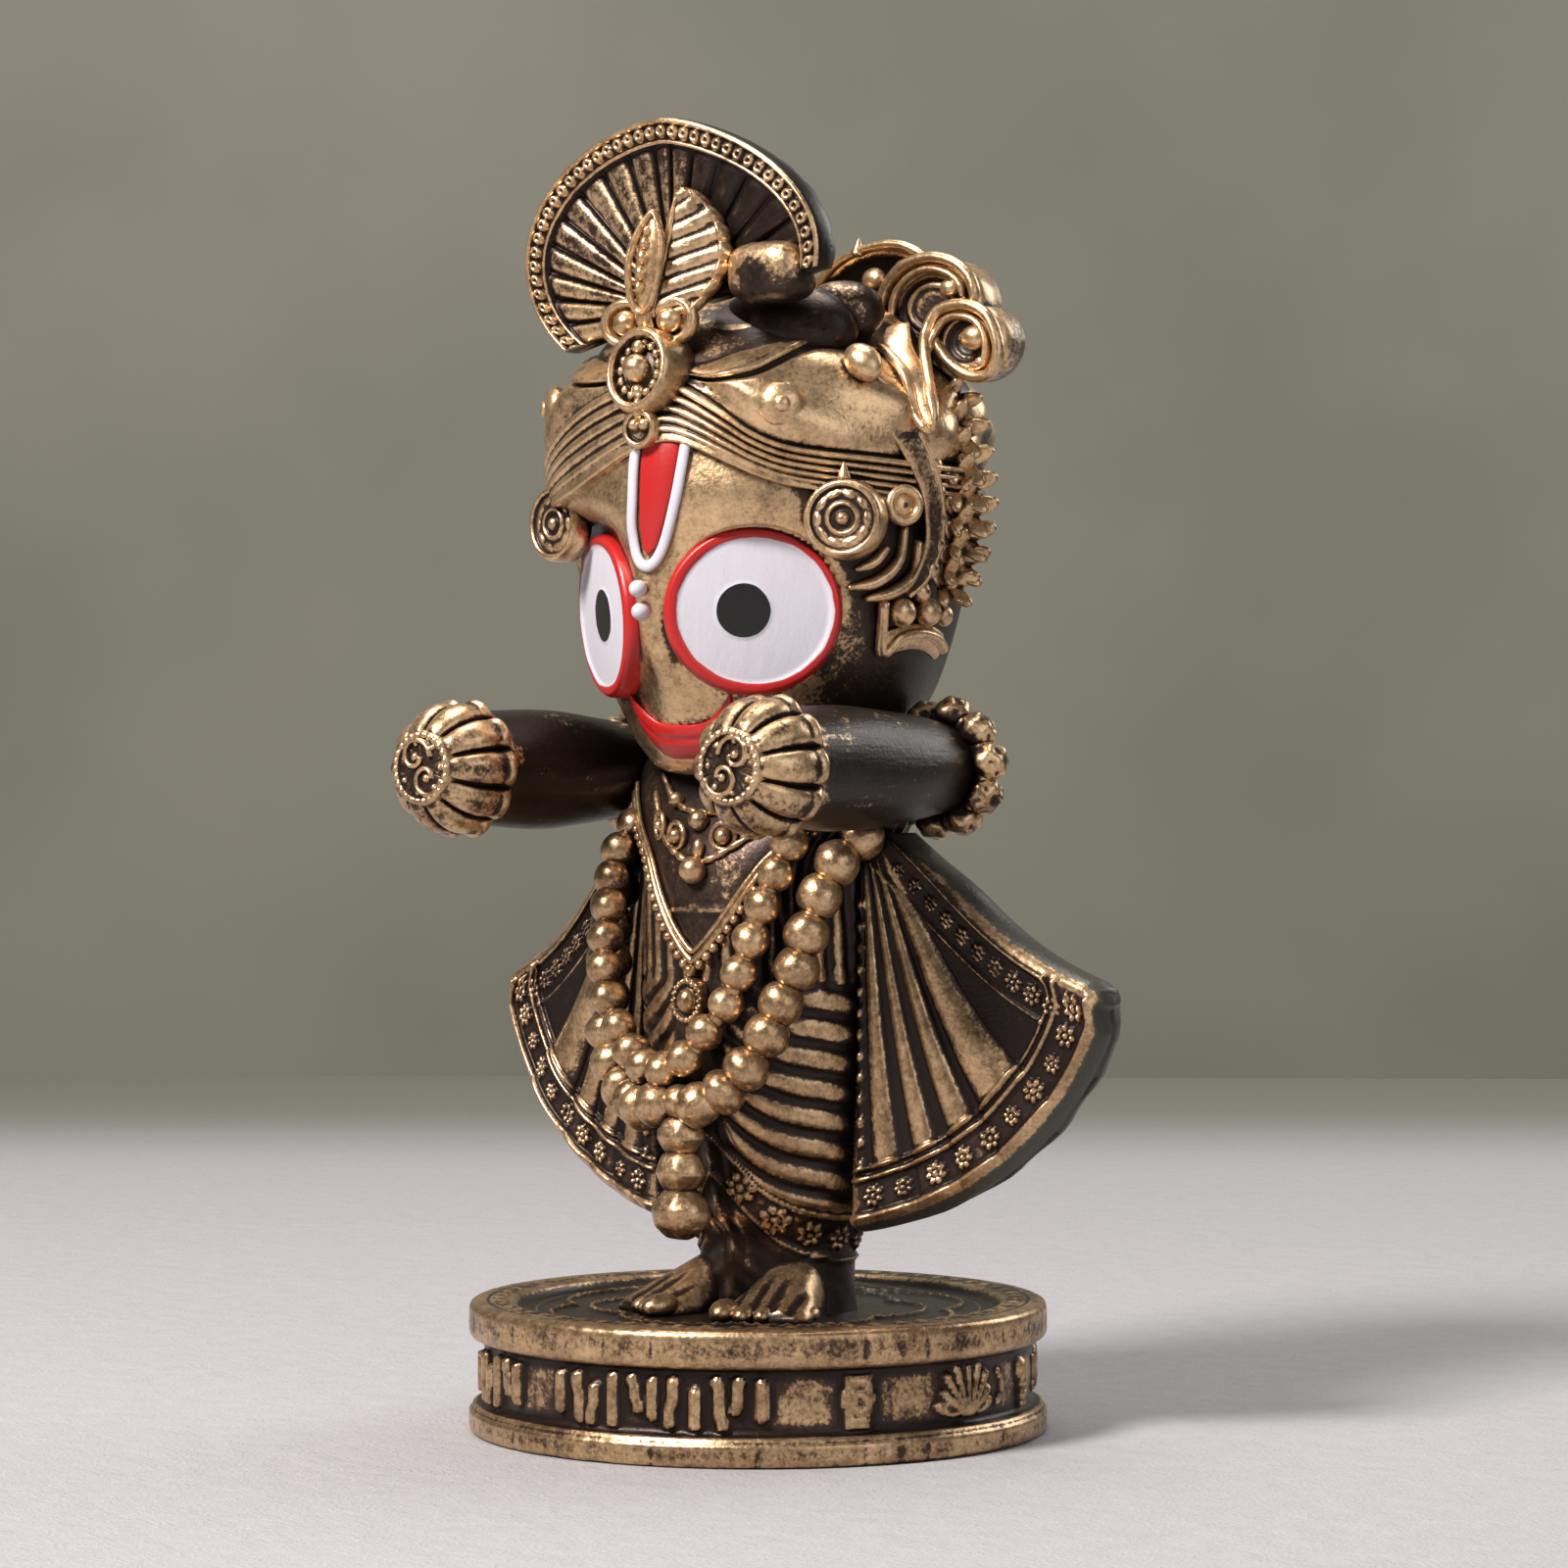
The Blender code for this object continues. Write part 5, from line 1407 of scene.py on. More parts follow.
def ear_face(r, t):
    """A thick plain rim, a shallow hollow with a scalloped ring and an inner ring round a pearl."""
    high = 0.6 * ridge(r - 0.89, 0.12)
    ring = 0.2 * soft_ridge(r - 0.62, 0.14) * (0.7 + 0.3 * np.cos(t * 10))
    high = np.maximum(high, 0.26 + ring - 0.16 * (r > 0.76))
    high = np.maximum(high, 0.26 + 0.24 * ridge(r - 0.38, 0.06) - 0.16 * (r > 0.76))
    return np.maximum(high, 0.72 * ridge(r, 0.2))


def ear_form():
    """The ear discs, the bosses on the turban, the small cup ring and the finial over the left disc."""
    form = Form()
    for place, turn, thick, boss in (
        ((-12.0, -10.2, 70.5), -13.0, 1.3, (-11.9, -10.8, 79.4)),
        ((14.7, -8.6, 70.0), 24.0, 1.8, (11.3, -11.7, 78.5)),
    ):
        form.add(medallion(place, axes(turn), (3.0, 2.95), thick, ear_face, 40, 120), gilt_and_painted_light=0.25)
        centre = np.array(boss)
        out = away(centre, (0.0, 1.2))
        form.add(bead(centre - out * 0.3, (1.85, 1.85, 1.05), out, 40, 20), gilt_and_painted_light=0.1)
        form.add(bead(centre + out * 0.6, (0.65, 0.65, 0.4), out, 20, 10), gilt_and_painted_light=0.3)
        base = np.array(place) + (0, 0.1, 3.0)
        path = base + np.linspace(0, 1.25, 10)[:, None] * np.array((0, 0, 1.0))
        form.add(rod(path, 0.55 * np.linspace(1, 0.06, 10) ** 0.8, 12), gilt_and_painted_light=0.2)
    t = round_steps(60)
    across, up, out = axes(62.0)
    middle = np.array((16.5, -3.4, 71.2))
    radial = np.cos(t)[:, None] * across + np.sin(t)[:, None] * up
    form.add(hoop(middle + 1.2 * radial, radial, 0.4, out * 1.3), loop=True, gilt_and_painted_light=0.1)
    form.add(bead(middle - out * 0.35, (1.1, 1.1, 0.6), out, 20, 10), gilt_and_painted_light=-0.3)
    return form


def temple_form():
    """What hangs at the left temple: the flat strap with raised edges, three curved locks, the flower string
    with its row of buds, and the pendant of knobs over a crescent."""
    form = Form()
    knots = ((62.0, 81.0), (67.0, 79.6), (75.5, 76.6), (84.0, 72.7), (87.0, 69.0), (84.5, 66.4), (79.0, 64.6))
    points = drawn(head_place, knots, 80, 1.5 - 0.9 * np.linspace(0, 1, 80))
    out = away(points, (0, 1.0))
    wide = np.interp(np.linspace(0, 1, 80), (0, 0.15, 0.7, 1.0), (1.0, 1.15, 1.1, 0.35))
    form.add(rod(points, wide, 20, 0.3, up=out), gilt_and_painted_light=-0.75)
    ahead = np.gradient(points, axis=0)
    ahead /= np.linalg.norm(ahead, axis=1, keepdims=True)
    side = np.cross(ahead, out)
    for sign in (-1, 1):
        line = points + side * wide[:, None] * 0.92 * sign + out * 0.12
        form.add(rod(line, 0.2, 8, up=out), gilt_and_painted_light=0.15)
    for knots, thick in (
        (((83.0, 68.6), (82.4, 66.3), (76.0, 64.8), (66.0, 64.1)), 0.5),
        (((77.4, 69.6), (76.3, 67.2), (69.5, 65.5), (60.5, 64.9)), 0.48),
        (((72.0, 68.0), (68.0, 66.9), (62.5, 66.3)), 0.4),
    ):
        points = drawn(head_place, knots, 50, 0.35)
        size = thick * np.sin(np.linspace(0.5, math.pi - 0.25, 50)) ** 0.6
        form.add(rod(points, size, 10, 1.2, up=away(points)), gilt_and_painted_light=0.3)
    # Spiked flowers one above another, each a cup of pointed petals, with a dark bud before each
    for height, degrees, size in (
        (79.2, 98.0, 1.5), (77.1, 97.5, 1.75), (75.0, 98.0, 1.8), (73.0, 99.0, 1.85), (71.1, 100.0, 1.85),
        (69.2, 100.0, 1.8), (67.3, 98.5, 1.75), (65.5, 96.0, 1.5),
    ):
        centre = head_place(np.radians(degrees), np.array(height), 1.0)
        facing = axes(degrees - 34.0)[2]
        form.add(flower_cup(centre, facing, size + 0.45), gilt_and_painted_light=0.45)
        form.add(bead(centre + facing * 0.25, (0.5, 0.5, 0.5), (0, 0, 1), 12, 8), gilt_and_painted_light=0.3)
        bud = head_place(np.radians(degrees - 10.5), np.array(height - 0.7), 0.5)
        form.add(bead(bud, (0.85, 0.8, 0.7), away(bud), 14, 9), gilt_and_painted_light=-0.1)
    for degrees, height, size in ((78.0, 63.2, 1.12), (88.5, 63.3, 1.12), (97.0, 63.1, 0.82)):
        place = head_place(np.radians(degrees), np.array(height), 0.75)
        form.add(bead(place, (size, size, size * 0.85), away(place), 22, 14), gilt_and_painted_light=0.35)
    knots = ((71.5, 63.9), (73.0, 60.2), (79.0, 61.3), (88.0, 61.7), (97.0, 61.3), (103.0, 60.6))
    points = drawn(head_place, knots, 60, 0.55)
    form.add(rod(points, 0.42, 12, 1.2, up=away(points)), gilt_and_painted_light=0.3)
    degrees = np.radians(steps(74.0, 102.0, 40))[:, None]
    t = round_steps(20)[None, :]
    low = 59.9 + 0.7 * np.sin((degrees - math.radians(74)) / math.radians(28) * math.pi)
    form.add(head_place(degrees, low + 0.9 + 1.0 * np.cos(t), 0.25 + 0.35 * np.sin(t)), gilt_and_painted_light=-0.05)
    return form


def flower_cup(centre, out, radius=1.75, tall=1.3):
    """A small open flower that faces out: rings whose radius and height swing with five pointed petals go out
    to the tips and come back inside."""
    t = round_steps(50)[None, :]
    share = np.concatenate((np.linspace(0.12, 1.0, 8), np.linspace(0.94, 0.15, 7)))[:, None]
    inner = (np.arange(15) > 7)[:, None]
    side = np.cross(out, (0, 0, 1.0))
    petal = np.abs(np.cos(t * 2.5)) ** 1.5
    reach = radius * share**0.8 * (0.6 + 0.5 * petal * share) - 0.12 * inner
    lift = tall * (share**1.6 * (0.3 + 0.9 * petal) - 0.3) + 0.14 * inner
    return (
        centre
        + lift[..., None] * out
        + (reach * np.cos(t))[..., None] * np.array((0, 0, 1.0))
        + (reach * np.sin(t))[..., None] * side
    )


# Rims of the plume: the front spiral and its inner line, the middle feather's two, the far one and the stem's
PLUME_RIMS = (
    (0.46, (18.6, -2.6, 76.7), (18.7, -2.5, 77.8), (17.8, -1.8, 79.8), (16.6, -0.6, 81.5), (15.4, 0.8, 83.1),
     (14.9, 1.8, 84.7), (15.5, 2.2, 86.2), (16.8, 2.3, 86.7), (18.6, 2.3, 86.6),
     (20.2, 2.3, 85.7), (21.0, 2.3, 84.2),
     (21.2, 2.3, 82.7), (20.6, 2.3, 81.4), (19.5, 2.3, 81.1), (18.2, 2.3, 81.4),
     (16.8, 2.3, 82.3), (15.8, 2.2, 83.5),
     (15.3, 2.0, 84.6)),
    (0.3, (15.5, 0.9, 82.8), (15.5, 2.0, 84.6), (16.3, 2.2, 85.6), (17.8, 2.2, 85.8), (19.2, 2.2, 85.3),
     (20.0, 2.2, 84.1), (20.1, 2.2, 82.8), (19.6, 2.2, 82.0), (18.7, 2.2, 81.9)),
    (0.44, (14.0, -1.2, 81.8), (12.0, 0.6, 83.2), (9.9, 2.6, 86.2), (10.2, 2.8, 88.3), (11.8, 2.8, 90.0),
     (14.1, 2.8, 90.6), (16.4, 2.8, 90.2), (18.1, 2.8, 89.0), (18.7, 2.8, 87.5), (18.4, 2.8, 86.8)),
    (0.28, (12.6, 1.0, 84.0), (11.0, 2.6, 86.1), (11.3, 2.7, 88.0), (12.6, 2.7, 89.2), (14.3, 2.7, 89.7),
     (16.1, 2.7, 89.3), (17.3, 2.7, 88.4), (17.6, 2.7, 87.4)),
    (0.36, (2.1, 3.4, 87.1), (2.7, 3.6, 88.6), (4.3, 3.6, 90.4), (6.5, 3.6, 91.5), (9.4, 3.6, 92.0),
     (11.4, 3.6, 91.8), (13.4, 3.6, 90.9)),
    (0.42, (12.7, -1.8, 83.6), (14.6, -2.3, 82.5), (16.2, -2.7, 80.9), (17.3, -2.8, 77.9), (18.4, -2.8, 76.6)),
)


def scroll_form():
    """The plume tied at the left temple: three thick oval curls with dished, fibred faces, their raised rims as
    rods along curves, the stem between its two rims, the knot and the pebbly cloth knob beside them."""
    form = Form()
    facing = axes(0.0)

    def front_face(r, t):
        """Rings that step down to the middle."""
        rings = 0.12 * soft_ridge(r - 0.62, 0.1) + 0.1 * soft_ridge(r - 0.4, 0.1)
        return rings - 0.7 * (1 - smooth(r, 0.2, 0.8))

    def fibred(r, t):
        """A shallow dish with fine threads that run round it."""
        return -0.5 * (1 - r**2) + 0.09 * np.sin(r * 30 + 0.8 * np.sin(t)) * smooth(r, 0.2, 0.5)

    def deep(r, t):
        """A deep hollow with a low rim."""
        return -1.5 * (1 - smooth(r, 0.55, 0.95))

    for place, radii, thick, face, dark in (
        ((18.0, 2.6, 83.9), (3.3, 2.8), 3.4, front_face, 0.1),
        ((14.2, 3.1, 86.9), (4.4, 3.6), 3.6, fibred, 0.45),
        ((8.6, 4.1, 87.6), (6.4, 4.3), 2.6, deep, -0.4),
    ):
        disc = medallion(place, facing, radii, thick, face, 34, 96)
        side = smooth(disc[..., 1] - place[1], 0.3, 1.0)
        form.add(disc, gilt_and_painted_light=dark - 1.2 * side, olive=0.9 * side)
    for thick, *knots in PLUME_RIMS:
        line = through(knots, 96)
        size = thick * np.clip(np.sin(np.linspace(0.12, math.pi - 0.2, 96)) * 3.0, 0.35, 1.0)
        form.add(rod(line, size, 12, 1.2, up=(0, -1, 0)), gilt_and_painted_light=0.05)
    for middle, size, gold in (
        ((18.9, 2.3, 84.1), 0.95, 0.25), ((19.7, 2.1, 82.2), 0.42, 0.2), ((16.3, 2.8, 88.1), 0.7, 0.1),
        ((8.3, 4.0, 89.4), 0.95, -0.2), ((10.9, 4.2, 90.2), 0.6, -0.2),
    ):
        form.add(bead(middle, (size, size * 1.15, size * 0.7), (0, -1, 0), 24, 12), gilt_and_painted_light=gold)
    spike = np.array((7.0, 3.6, 91.4)) + np.linspace(0, 1.3, 8)[:, None] * np.array((0.1, 0, 1.0))
    form.add(rod(spike, 0.6 * np.linspace(1, 0.08, 8), 12), gilt_and_painted_light=0.1)
    # The stem's face between its two rims
    left = (
        (11.6, 0.4, 84.6), (13.0, -1.5, 83.4), (14.6, -2.2, 82.4),
        (16.2, -2.5, 80.9), (17.4, -2.7, 77.9), (18.3, -2.7, 76.9),
    )
    left = through(left, 40)
    right = (
        (13.4, 1.6, 85.6), (14.6, 0.2, 84.0), (15.3, -0.2, 83.0),
        (16.6, -0.8, 81.5), (17.8, -1.8, 79.8), (18.6, -2.4, 77.2),
    )
    right = through(right, 40)
    spine, half = (left + right) / 2, np.linalg.norm(right - left, axis=1) / 2
    across = (right - left) / np.linalg.norm(right - left, axis=1, keepdims=True)
    up = np.cross(across, np.gradient(spine, axis=0))
    up *= -np.sign(up[:, 1:2]) / np.linalg.norm(up, axis=1, keepdims=True)
    form.add(rod(spine, half, 30, 0.3, up=up), gilt_and_painted_light=0.05)
    middle = np.array((9.2, -10.1, 88.6))
    lump = (bead(middle, (3.4, 2.5, 2.4), (0, 0, 1), 90, 60) - middle) / (3.4, 2.5, 2.4)
    lump = lump / np.sum(np.abs(lump) ** 3.2, axis=-1, keepdims=True) ** (1 / 3.2)
    lump = middle + lump * (3.3, 2.4, 2.3)
    pebble = np.sin(lump[..., 0] * 5.5) * np.sin(lump[..., 1] * 5.1) * np.sin(lump[..., 2] * 5.8)
    # The knob carries a painted highlight: it grows lighter towards its top, as lit from above
    form.add(lump, 0.025 * pebble, gilt_and_painted_light=-0.95 + 0.3 * (lump[..., 2] - middle[2]))
    # Cloth ends gathered beside the knot
    for middle, radii, way in (
        ((7.0, -5.4, 84.9), (3.5, 3.3, 6.2), (1.0, 0.05, -0.06)),
        ((10.6, -3.4, 86.0), (2.5, 2.4, 3.4), (0.9, 0.4, 0.1)),
    ):
        form.add(bead(middle, radii, way, 60, 40), gilt_and_painted_light=-1.3)
    form.add(bead((15.1, -6.6, 81.8), (1.75, 1.3, 1.2), (0.3, -0.9, 0.4), 34, 20), gilt_and_painted_light=0.35)
    return form


# ---- Garlands and chains ----


def garland_form():
    """Two strings of beads over the shoulders, each bead an egg flattened along its string with a few dents,
    and the lumps of the tassel below them."""
    sizes = bpy.context.scene.figure_sizes
    form = Form()
    rng = np.random.default_rng(7)
    for beads, radius in ((OUTER_BEADS, sizes.outer_bead / MM), (INNER_BEADS, sizes.inner_bead / MM)):
        places = np.array(beads)
        ahead = np.gradient(places, axis=0)
        for spot, way in zip(places, ahead):
            size = radius * (1.0 + 0.07 * rng.random())
            along = min(0.62 * np.linalg.norm(way), size * 1.02)
            lump = bead(spot + rng.uniform(-0.1, 0.1, 3), (size, size, along), way, 24, 15)
            phase = rng.uniform(0, TURN, 3)
            dents = np.sin(lump[..., 0] * 1.7 + phase[0]) * np.sin(lump[..., 1] * 1.9 + phase[1])
            # Gold where a bead stands out from the figure, as rubbed wear, and more on its top as painted light
            # from above
            proud = (0.45 * ((lump - spot) @ away(spot)) + 0.4 * (lump - spot)[..., 2]) / size
            form.add(lump, 0.09 * dents * np.sin(lump[..., 2] * 1.6 + phase[2]), gilt_and_painted_light=1.5 * proud - 0.62)
        cord = rod(through(places, 160), radius * 0.55, 8, up=away(through(places, 160)))
        form.add(cord, gilt_and_painted_light=-0.5)
    for height, radius in TASSEL:
        lump = bead((0.0, TASSEL_Y + 0.2, height), (radius * 1.12, radius, radius * 0.98), (0, 0, 1), 50, 34)
        dimple = -0.12 * np.abs(np.sin(lump[..., 0] * 2.1 + height) * np.sin(lump[..., 2] * 2.3))
        # Gold on a lump's front, where it stands out, as rubbed wear, and more on its top as painted light from
        # above
        form.add(lump, dimple, gilt_and_painted_light=-0.6 + 0.22 * (lump[..., 2] - height) - 0.15 * (lump[..., 1] - TASSEL_Y))
    form.add(bead((0.0, TASSEL_Y + 0.1, 25.9), (1.5, 1.5, 1.4), (0, 0, 1), 24, 14), gilt_and_painted_light=0.25)
    return form


def chain_form():
    """The chest chain of two lines with fine beads outside, its pendant, and the necklace of pearls."""
    form = Form()
    share = np.linspace(-1, 1, 260)
    height = 36.6 + 13.0 * np.abs(share) ** 1.25
    angle = np.radians(52.0 * share)
    for drop, thick in ((0.0, 0.33), (0.75, 0.22)):
        points = robe_place(angle * (1 - 0.02 * drop), height + drop, 0.3)
        form.add(rod(points, thick, 8, up=away(points)), gilt_and_painted_light=0.25)
    line = robe_place(angle * 1.02, height - 0.75, 0.35)
    run = np.append(0, np.cumsum(np.linalg.norm(np.diff(line, axis=0), axis=1)))
    for place in np.arange(0.5, run[-1], 0.92):
        spot = np.array([np.interp(place, run, line[:, c]) for c in range(3)])
        form.add(bead(spot, (0.42, 0.42, 0.42), away(spot), 10, 7), gilt_and_painted_light=0.3)

    def locket(r, t):
        """A beaded rim round a domed middle."""
        high = 0.42 * ridge(r - 0.85, 0.15) * (0.55 + 0.45 * np.cos(t * 18))
        return np.maximum(high, 0.75 * ridge(r, 0.55))

    front = robe_place(0.0, np.array(33.6), 1.0)
    form.add(medallion(front, axes(0.0, 2), (1.45, 1.75), 1.8, locket, 30, 90), gilt_and_painted_light=0.2)
    for height, size in ((35.9, 0.5), (31.4, 0.42), (30.7, 0.32)):
        form.add(bead(robe_place(0.0, np.array(height), 0.6), (size,) * 3, (0, -1, 0), 14, 9), gilt_and_painted_light=0.3)
    for degrees, height, size in (
        (-0.7, 43.6, 1.08),
        (9.5, 46.2, 0.66),
        (-13.1, 46.2, 0.6),
        (-3.5, 47.4, 0.82),
        (-17.0, 49.0, 0.6),
        (13.5, 48.6, 0.6),
        (-24.0, 47.0, 0.42),
        (24.0, 48.9, 0.6),
    ):
        place = robe_place(np.radians(degrees), np.array(height), 0.45)
        form.add(bead(place, (size, size, size), away(place), 20, 12), gilt_and_painted_light=0.35)
    form.add(bead(robe_place(0.0, np.array(45.2), 0.4), (0.45, 0.45, 0.8), (0, 0, 1), 12, 9), gilt_and_painted_light=0.3)
    for degrees, height in ((9.5, 46.2), (-13.1, 46.2), (-24.0, 47.0)):
        centre = robe_place(np.radians(degrees), np.array(height), 0.4)
        out = away(centre)
        side = np.cross(out, (0, 0, 1.0))
        t = round_steps(40)[:, None]
        radial = np.cos(t) * side + np.sin(t) * np.array((0, 0, 1.0))
        form.add(hoop(centre + 1.02 * radial, radial, 0.22, out, 8), loop=True, gilt_and_painted_light=0.2)
    for knots in (
        ((-32.0, 49.6), (-22.0, 46.2), (-10.0, 44.6), (0.0, 44.2), (10.0, 44.8), (22.0, 46.6), (32.0, 49.6)),
        ((-30.0, 51.0), (-16.0, 48.6), (0.0, 48.0), (16.0, 48.8), (30.0, 51.0)),
    ):
        points = drawn(robe_place, knots, 120, 0.2)
        wave = 0.2 + 0.1 * np.abs(np.sin(np.linspace(0, 40, 120)))
        form.add(rod(points, wave, 8, up=away(points)), gilt_and_painted_light=0.05)
    return form


# ---- Hollows between pieces ----


def box_blur(values, reach):
    """Mean within some cells along all three axes."""
    for axis in range(3):
        values = spread(values, reach, axis, True)
    return values


def find_hollows():
    """Fills a grid of small cells with the figure: a ray up each column counts surfaces going in less those
    going out. How full a point's neighbourhood is says how hollow its place is, and each piece keeps that as
    the hollow attribute, which paints the place dark as patina and as painted shade between the pieces."""
    items = [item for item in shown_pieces() if "gilt_and_painted_light" in item.data.attributes]
    points, faces, total = [], [], 0
    for item in items:
        mesh = item.data
        place = np.empty(len(mesh.vertices) * 3, np.float32)
        mesh.vertices.foreach_get("co", place)
        mesh.calc_loop_triangles()
        corners = np.empty(len(mesh.loop_triangles) * 3, np.int32)
        mesh.loop_triangles.foreach_get("vertices", corners)
        points.append(place.reshape(-1, 3) / MM)
        faces.append(corners.reshape(-1, 3) + total)
        total += len(mesh.vertices)
    every = np.vstack(points)
    low = every.min(0) - 4.0
    count = np.ceil((every.max(0) + 4.0 - low) / CELL).astype(int)
    tree = BVHTree.FromPolygons(every.tolist(), np.vstack(faces).tolist(), all_triangles=True)
    full = np.zeros(count, np.float32)
    up = Vector((0, 0, 1))
    for i in range(int(3.5 / CELL), count[0] - int(3.5 / CELL)):
        for j in range(int(3.5 / CELL), count[1] - int(3.5 / CELL)):
            start = Vector((low[0] + (i + 0.503) * CELL, low[1] + (j + 0.497) * CELL, low[2]))
            depth, entered = 0, 0
            while True:
                hit, normal, _, _ = tree.ray_cast(start, up)
                if hit is None:
                    break
                cell = int((hit.z - low[2]) / CELL + 0.5)
                if normal.z < 0:
                    if depth == 0:
                        entered = cell
                    depth += 1
                else:
                    depth -= 1
                    if depth == 0:
                        full[i, j, entered:cell] = 1.0
                start = Vector((start.x, start.y, hit.z + 0.002))
    near, wide = box_blur(full, 2), box_blur(full, 5)
    for item, place in zip(items, points):
        mesh = item.data
        normal = np.empty(len(mesh.vertices) * 3, np.float32)
        mesh.vertices.foreach_get("normal", normal)
        spot = (place + normal.reshape(-1, 3) * 0.45 - low) / CELL - 0.5
        # Painted shade and patina together: the fuller a point's neighbourhood, the darker it is painted
        value = 1.5 * (trilinear(near, spot) - 0.36) + 2.0 * (trilinear(wide, spot) - 0.42)
        mesh.attributes["hollow"].data.foreach_set("value", np.clip(value, -0.22, 1.6).astype(np.float32))


def trilinear(field, spot):
    """Reads a field of cells between their middles: the mean of the eight nearest, weighted by nearness."""
    spot = np.clip(spot, 0, np.array(field.shape) - 1.001)
    base = spot.astype(int)
    part = spot - base
    value = 0.0
    for i in (0, 1):
        for j in (0, 1):
            for k in (0, 1):
                weight = np.prod(np.where((i, j, k), part, 1 - part), axis=1)
                value = value + weight * field[base[:, 0] + i, base[:, 1] + j, base[:, 2] + k]
    return value


# ---- What a user may change ----


class FigureSizes(bpy.types.PropertyGroup):
    """Sizes of the figure's loose-looking parts."""

    outer_bead: FloatProperty(
        name="Outer bead", description="Radius of the outer garland's beads", default=0.00175, unit="LENGTH"
    )
    inner_bead: FloatProperty(
        name="Inner bead", description="Radius of the inner garland's beads", default=0.0014, unit="LENGTH"
    )


class FigureColours(bpy.types.PropertyGroup):
    """Colours of the metal and the paints."""

    gold: FloatVectorProperty(
        name="Rubbed gold",
        description="Colour of the worn edges",
        default=(0.53, 0.36, 0.205),
        subtype="COLOR",
    )
    brown: FloatVectorProperty(
        name="Brown",
        description="Colour between gold and ground",
        default=(0.054, 0.031, 0.022),
        subtype="COLOR",
    )
    olive: FloatVectorProperty(
        name="Olive", description="Colour of the bare metal behind", default=(0.1, 0.1, 0.08), subtype="COLOR"
    )
    ground: FloatVectorProperty(
        name="Ground", description="Colour of the hollows", default=(0.02, 0.0115, 0.009), subtype="COLOR"
    )
    red: FloatVectorProperty(
        name="Red", description="Colour of the red paint", default=(0.42, 0.013, 0.012), subtype="COLOR"
    )
    white: FloatVectorProperty(
        name="White", description="Colour of the white paint", default=(0.57, 0.545, 0.6), subtype="COLOR"
    )


class StageSettings(bpy.types.PropertyGroup):
    """The floor, the light and the camera."""

    floor: FloatVectorProperty(
        name="Floor", description="Colour of the floor", default=(0.35, 0.335, 0.345), subtype="COLOR"
    )
    backdrop: FloatVectorProperty(
        name="Backdrop", description="Colour of the backdrop", default=(0.17, 0.165, 0.135), subtype="COLOR"
    )
    distance: FloatProperty(
        name="Camera distance", description="From the figure's axis", default=0.35, unit="LENGTH"
    )
    turn: FloatProperty(
        name="Camera turn",
        description="Round the figure from its front",
        default=math.radians(37.5),
        subtype="ANGLE",
    )


# ---- Operators ----


class FIGURE_OT_plinth(bpy.types.Operator):
    """Make the round plinth with its carved waist"""

    bl_idname = "figure.plinth"
    bl_label = "Plinth"

    def execute(self, context):
        plinth_form().piece("plinth_carved", finish_named("rubbed_bronze"))
        return {"FINISHED"}


class FIGURE_OT_robe(bpy.types.Operator):
    """Make the body with its wrapped robe, and the feet"""

    bl_idname = "figure.robe"
    bl_label = "Robe and Feet"

    def execute(self, context):
        robe_form().piece("robe", finish_named("rubbed_bronze"))
        feet_form().piece("feet", finish_named("rubbed_bronze"))
        return {"FINISHED"}


class FIGURE_OT_wings(bpy.types.Operator):
    """Make the two spread sides of the robe"""

    bl_idname = "figure.wings"
    bl_label = "Robe Wings"

    def execute(self, context):
        left = wing_form()
        right = Form()
        right.take(left, -1)
        left.piece("wing_left", finish_named("rubbed_bronze"))
        right.piece("wing_right", finish_named("rubbed_bronze"))
        return {"FINISHED"}


class FIGURE_OT_arms(bpy.types.Operator):
    """Make the stub arms, the petalled cuffs and the armlets"""

    bl_idname = "figure.arms"
    bl_label = "Arms"

    def execute(self, context):
        for form, name, finish in (
            (arm_form(), "arm", "arm_bronze"),
            (cuff_form(), "cuff_and_armlet", "rubbed_bronze"),
        ):
            other = Form()
            other.take(form, -1)
            form.piece(name + "_left", finish_named(finish))
            other.piece(name + "_right", finish_named(finish))
        return {"FINISHED"}


class FIGURE_OT_head(bpy.types.Operator):
    """Make the head, the turban and the painted face"""

    bl_idname = "figure.head"
    bl_label = "Head"

    def execute(self, context):
        head_form().piece("head", finish_named("rubbed_bronze"))
        turban_form().piece("turban", finish_named("rubbed_bronze"))
        eye_form().piece("eyes", finish_named("eye_paint"))
        brow_mark_form("line").piece("brow_line", finish_named("white_paint"))
        brow_mark_form("fill").piece("brow_fill", finish_named("red_paint"))
        smile_form().piece("smile", finish_named("red_paint"))
        nose_bead_form().piece("nose_beads", finish_named("white_paint"))
        return {"FINISHED"}


class FIGURE_OT_crest(bpy.types.Operator):
    """Make the fan crest, its leaf and the jewel over the brow"""

    bl_idname = "figure.crest"
    bl_label = "Crest"

    def execute(self, context):
        fan_form().piece("fan_crest", finish_named("rubbed_bronze"))
        leaf_form().piece("crest_leaf", finish_named("rubbed_bronze"))
        jewel_form().piece("brow_jewel", finish_named("rubbed_bronze"))
        return {"FINISHED"}


class FIGURE_OT_ornaments(bpy.types.Operator):
    """Make the ear discs and all that hangs at the left temple"""

    bl_idname = "figure.ornaments"
    bl_label = "Head Ornaments"

    def execute(self, context):
        ear_form().piece("ear_discs", finish_named("rubbed_bronze"))
        temple_form().piece("temple_strings", finish_named("rubbed_bronze"))
        scroll_form().piece("plume_scroll", finish_named("rubbed_bronze"))
        return {"FINISHED"}


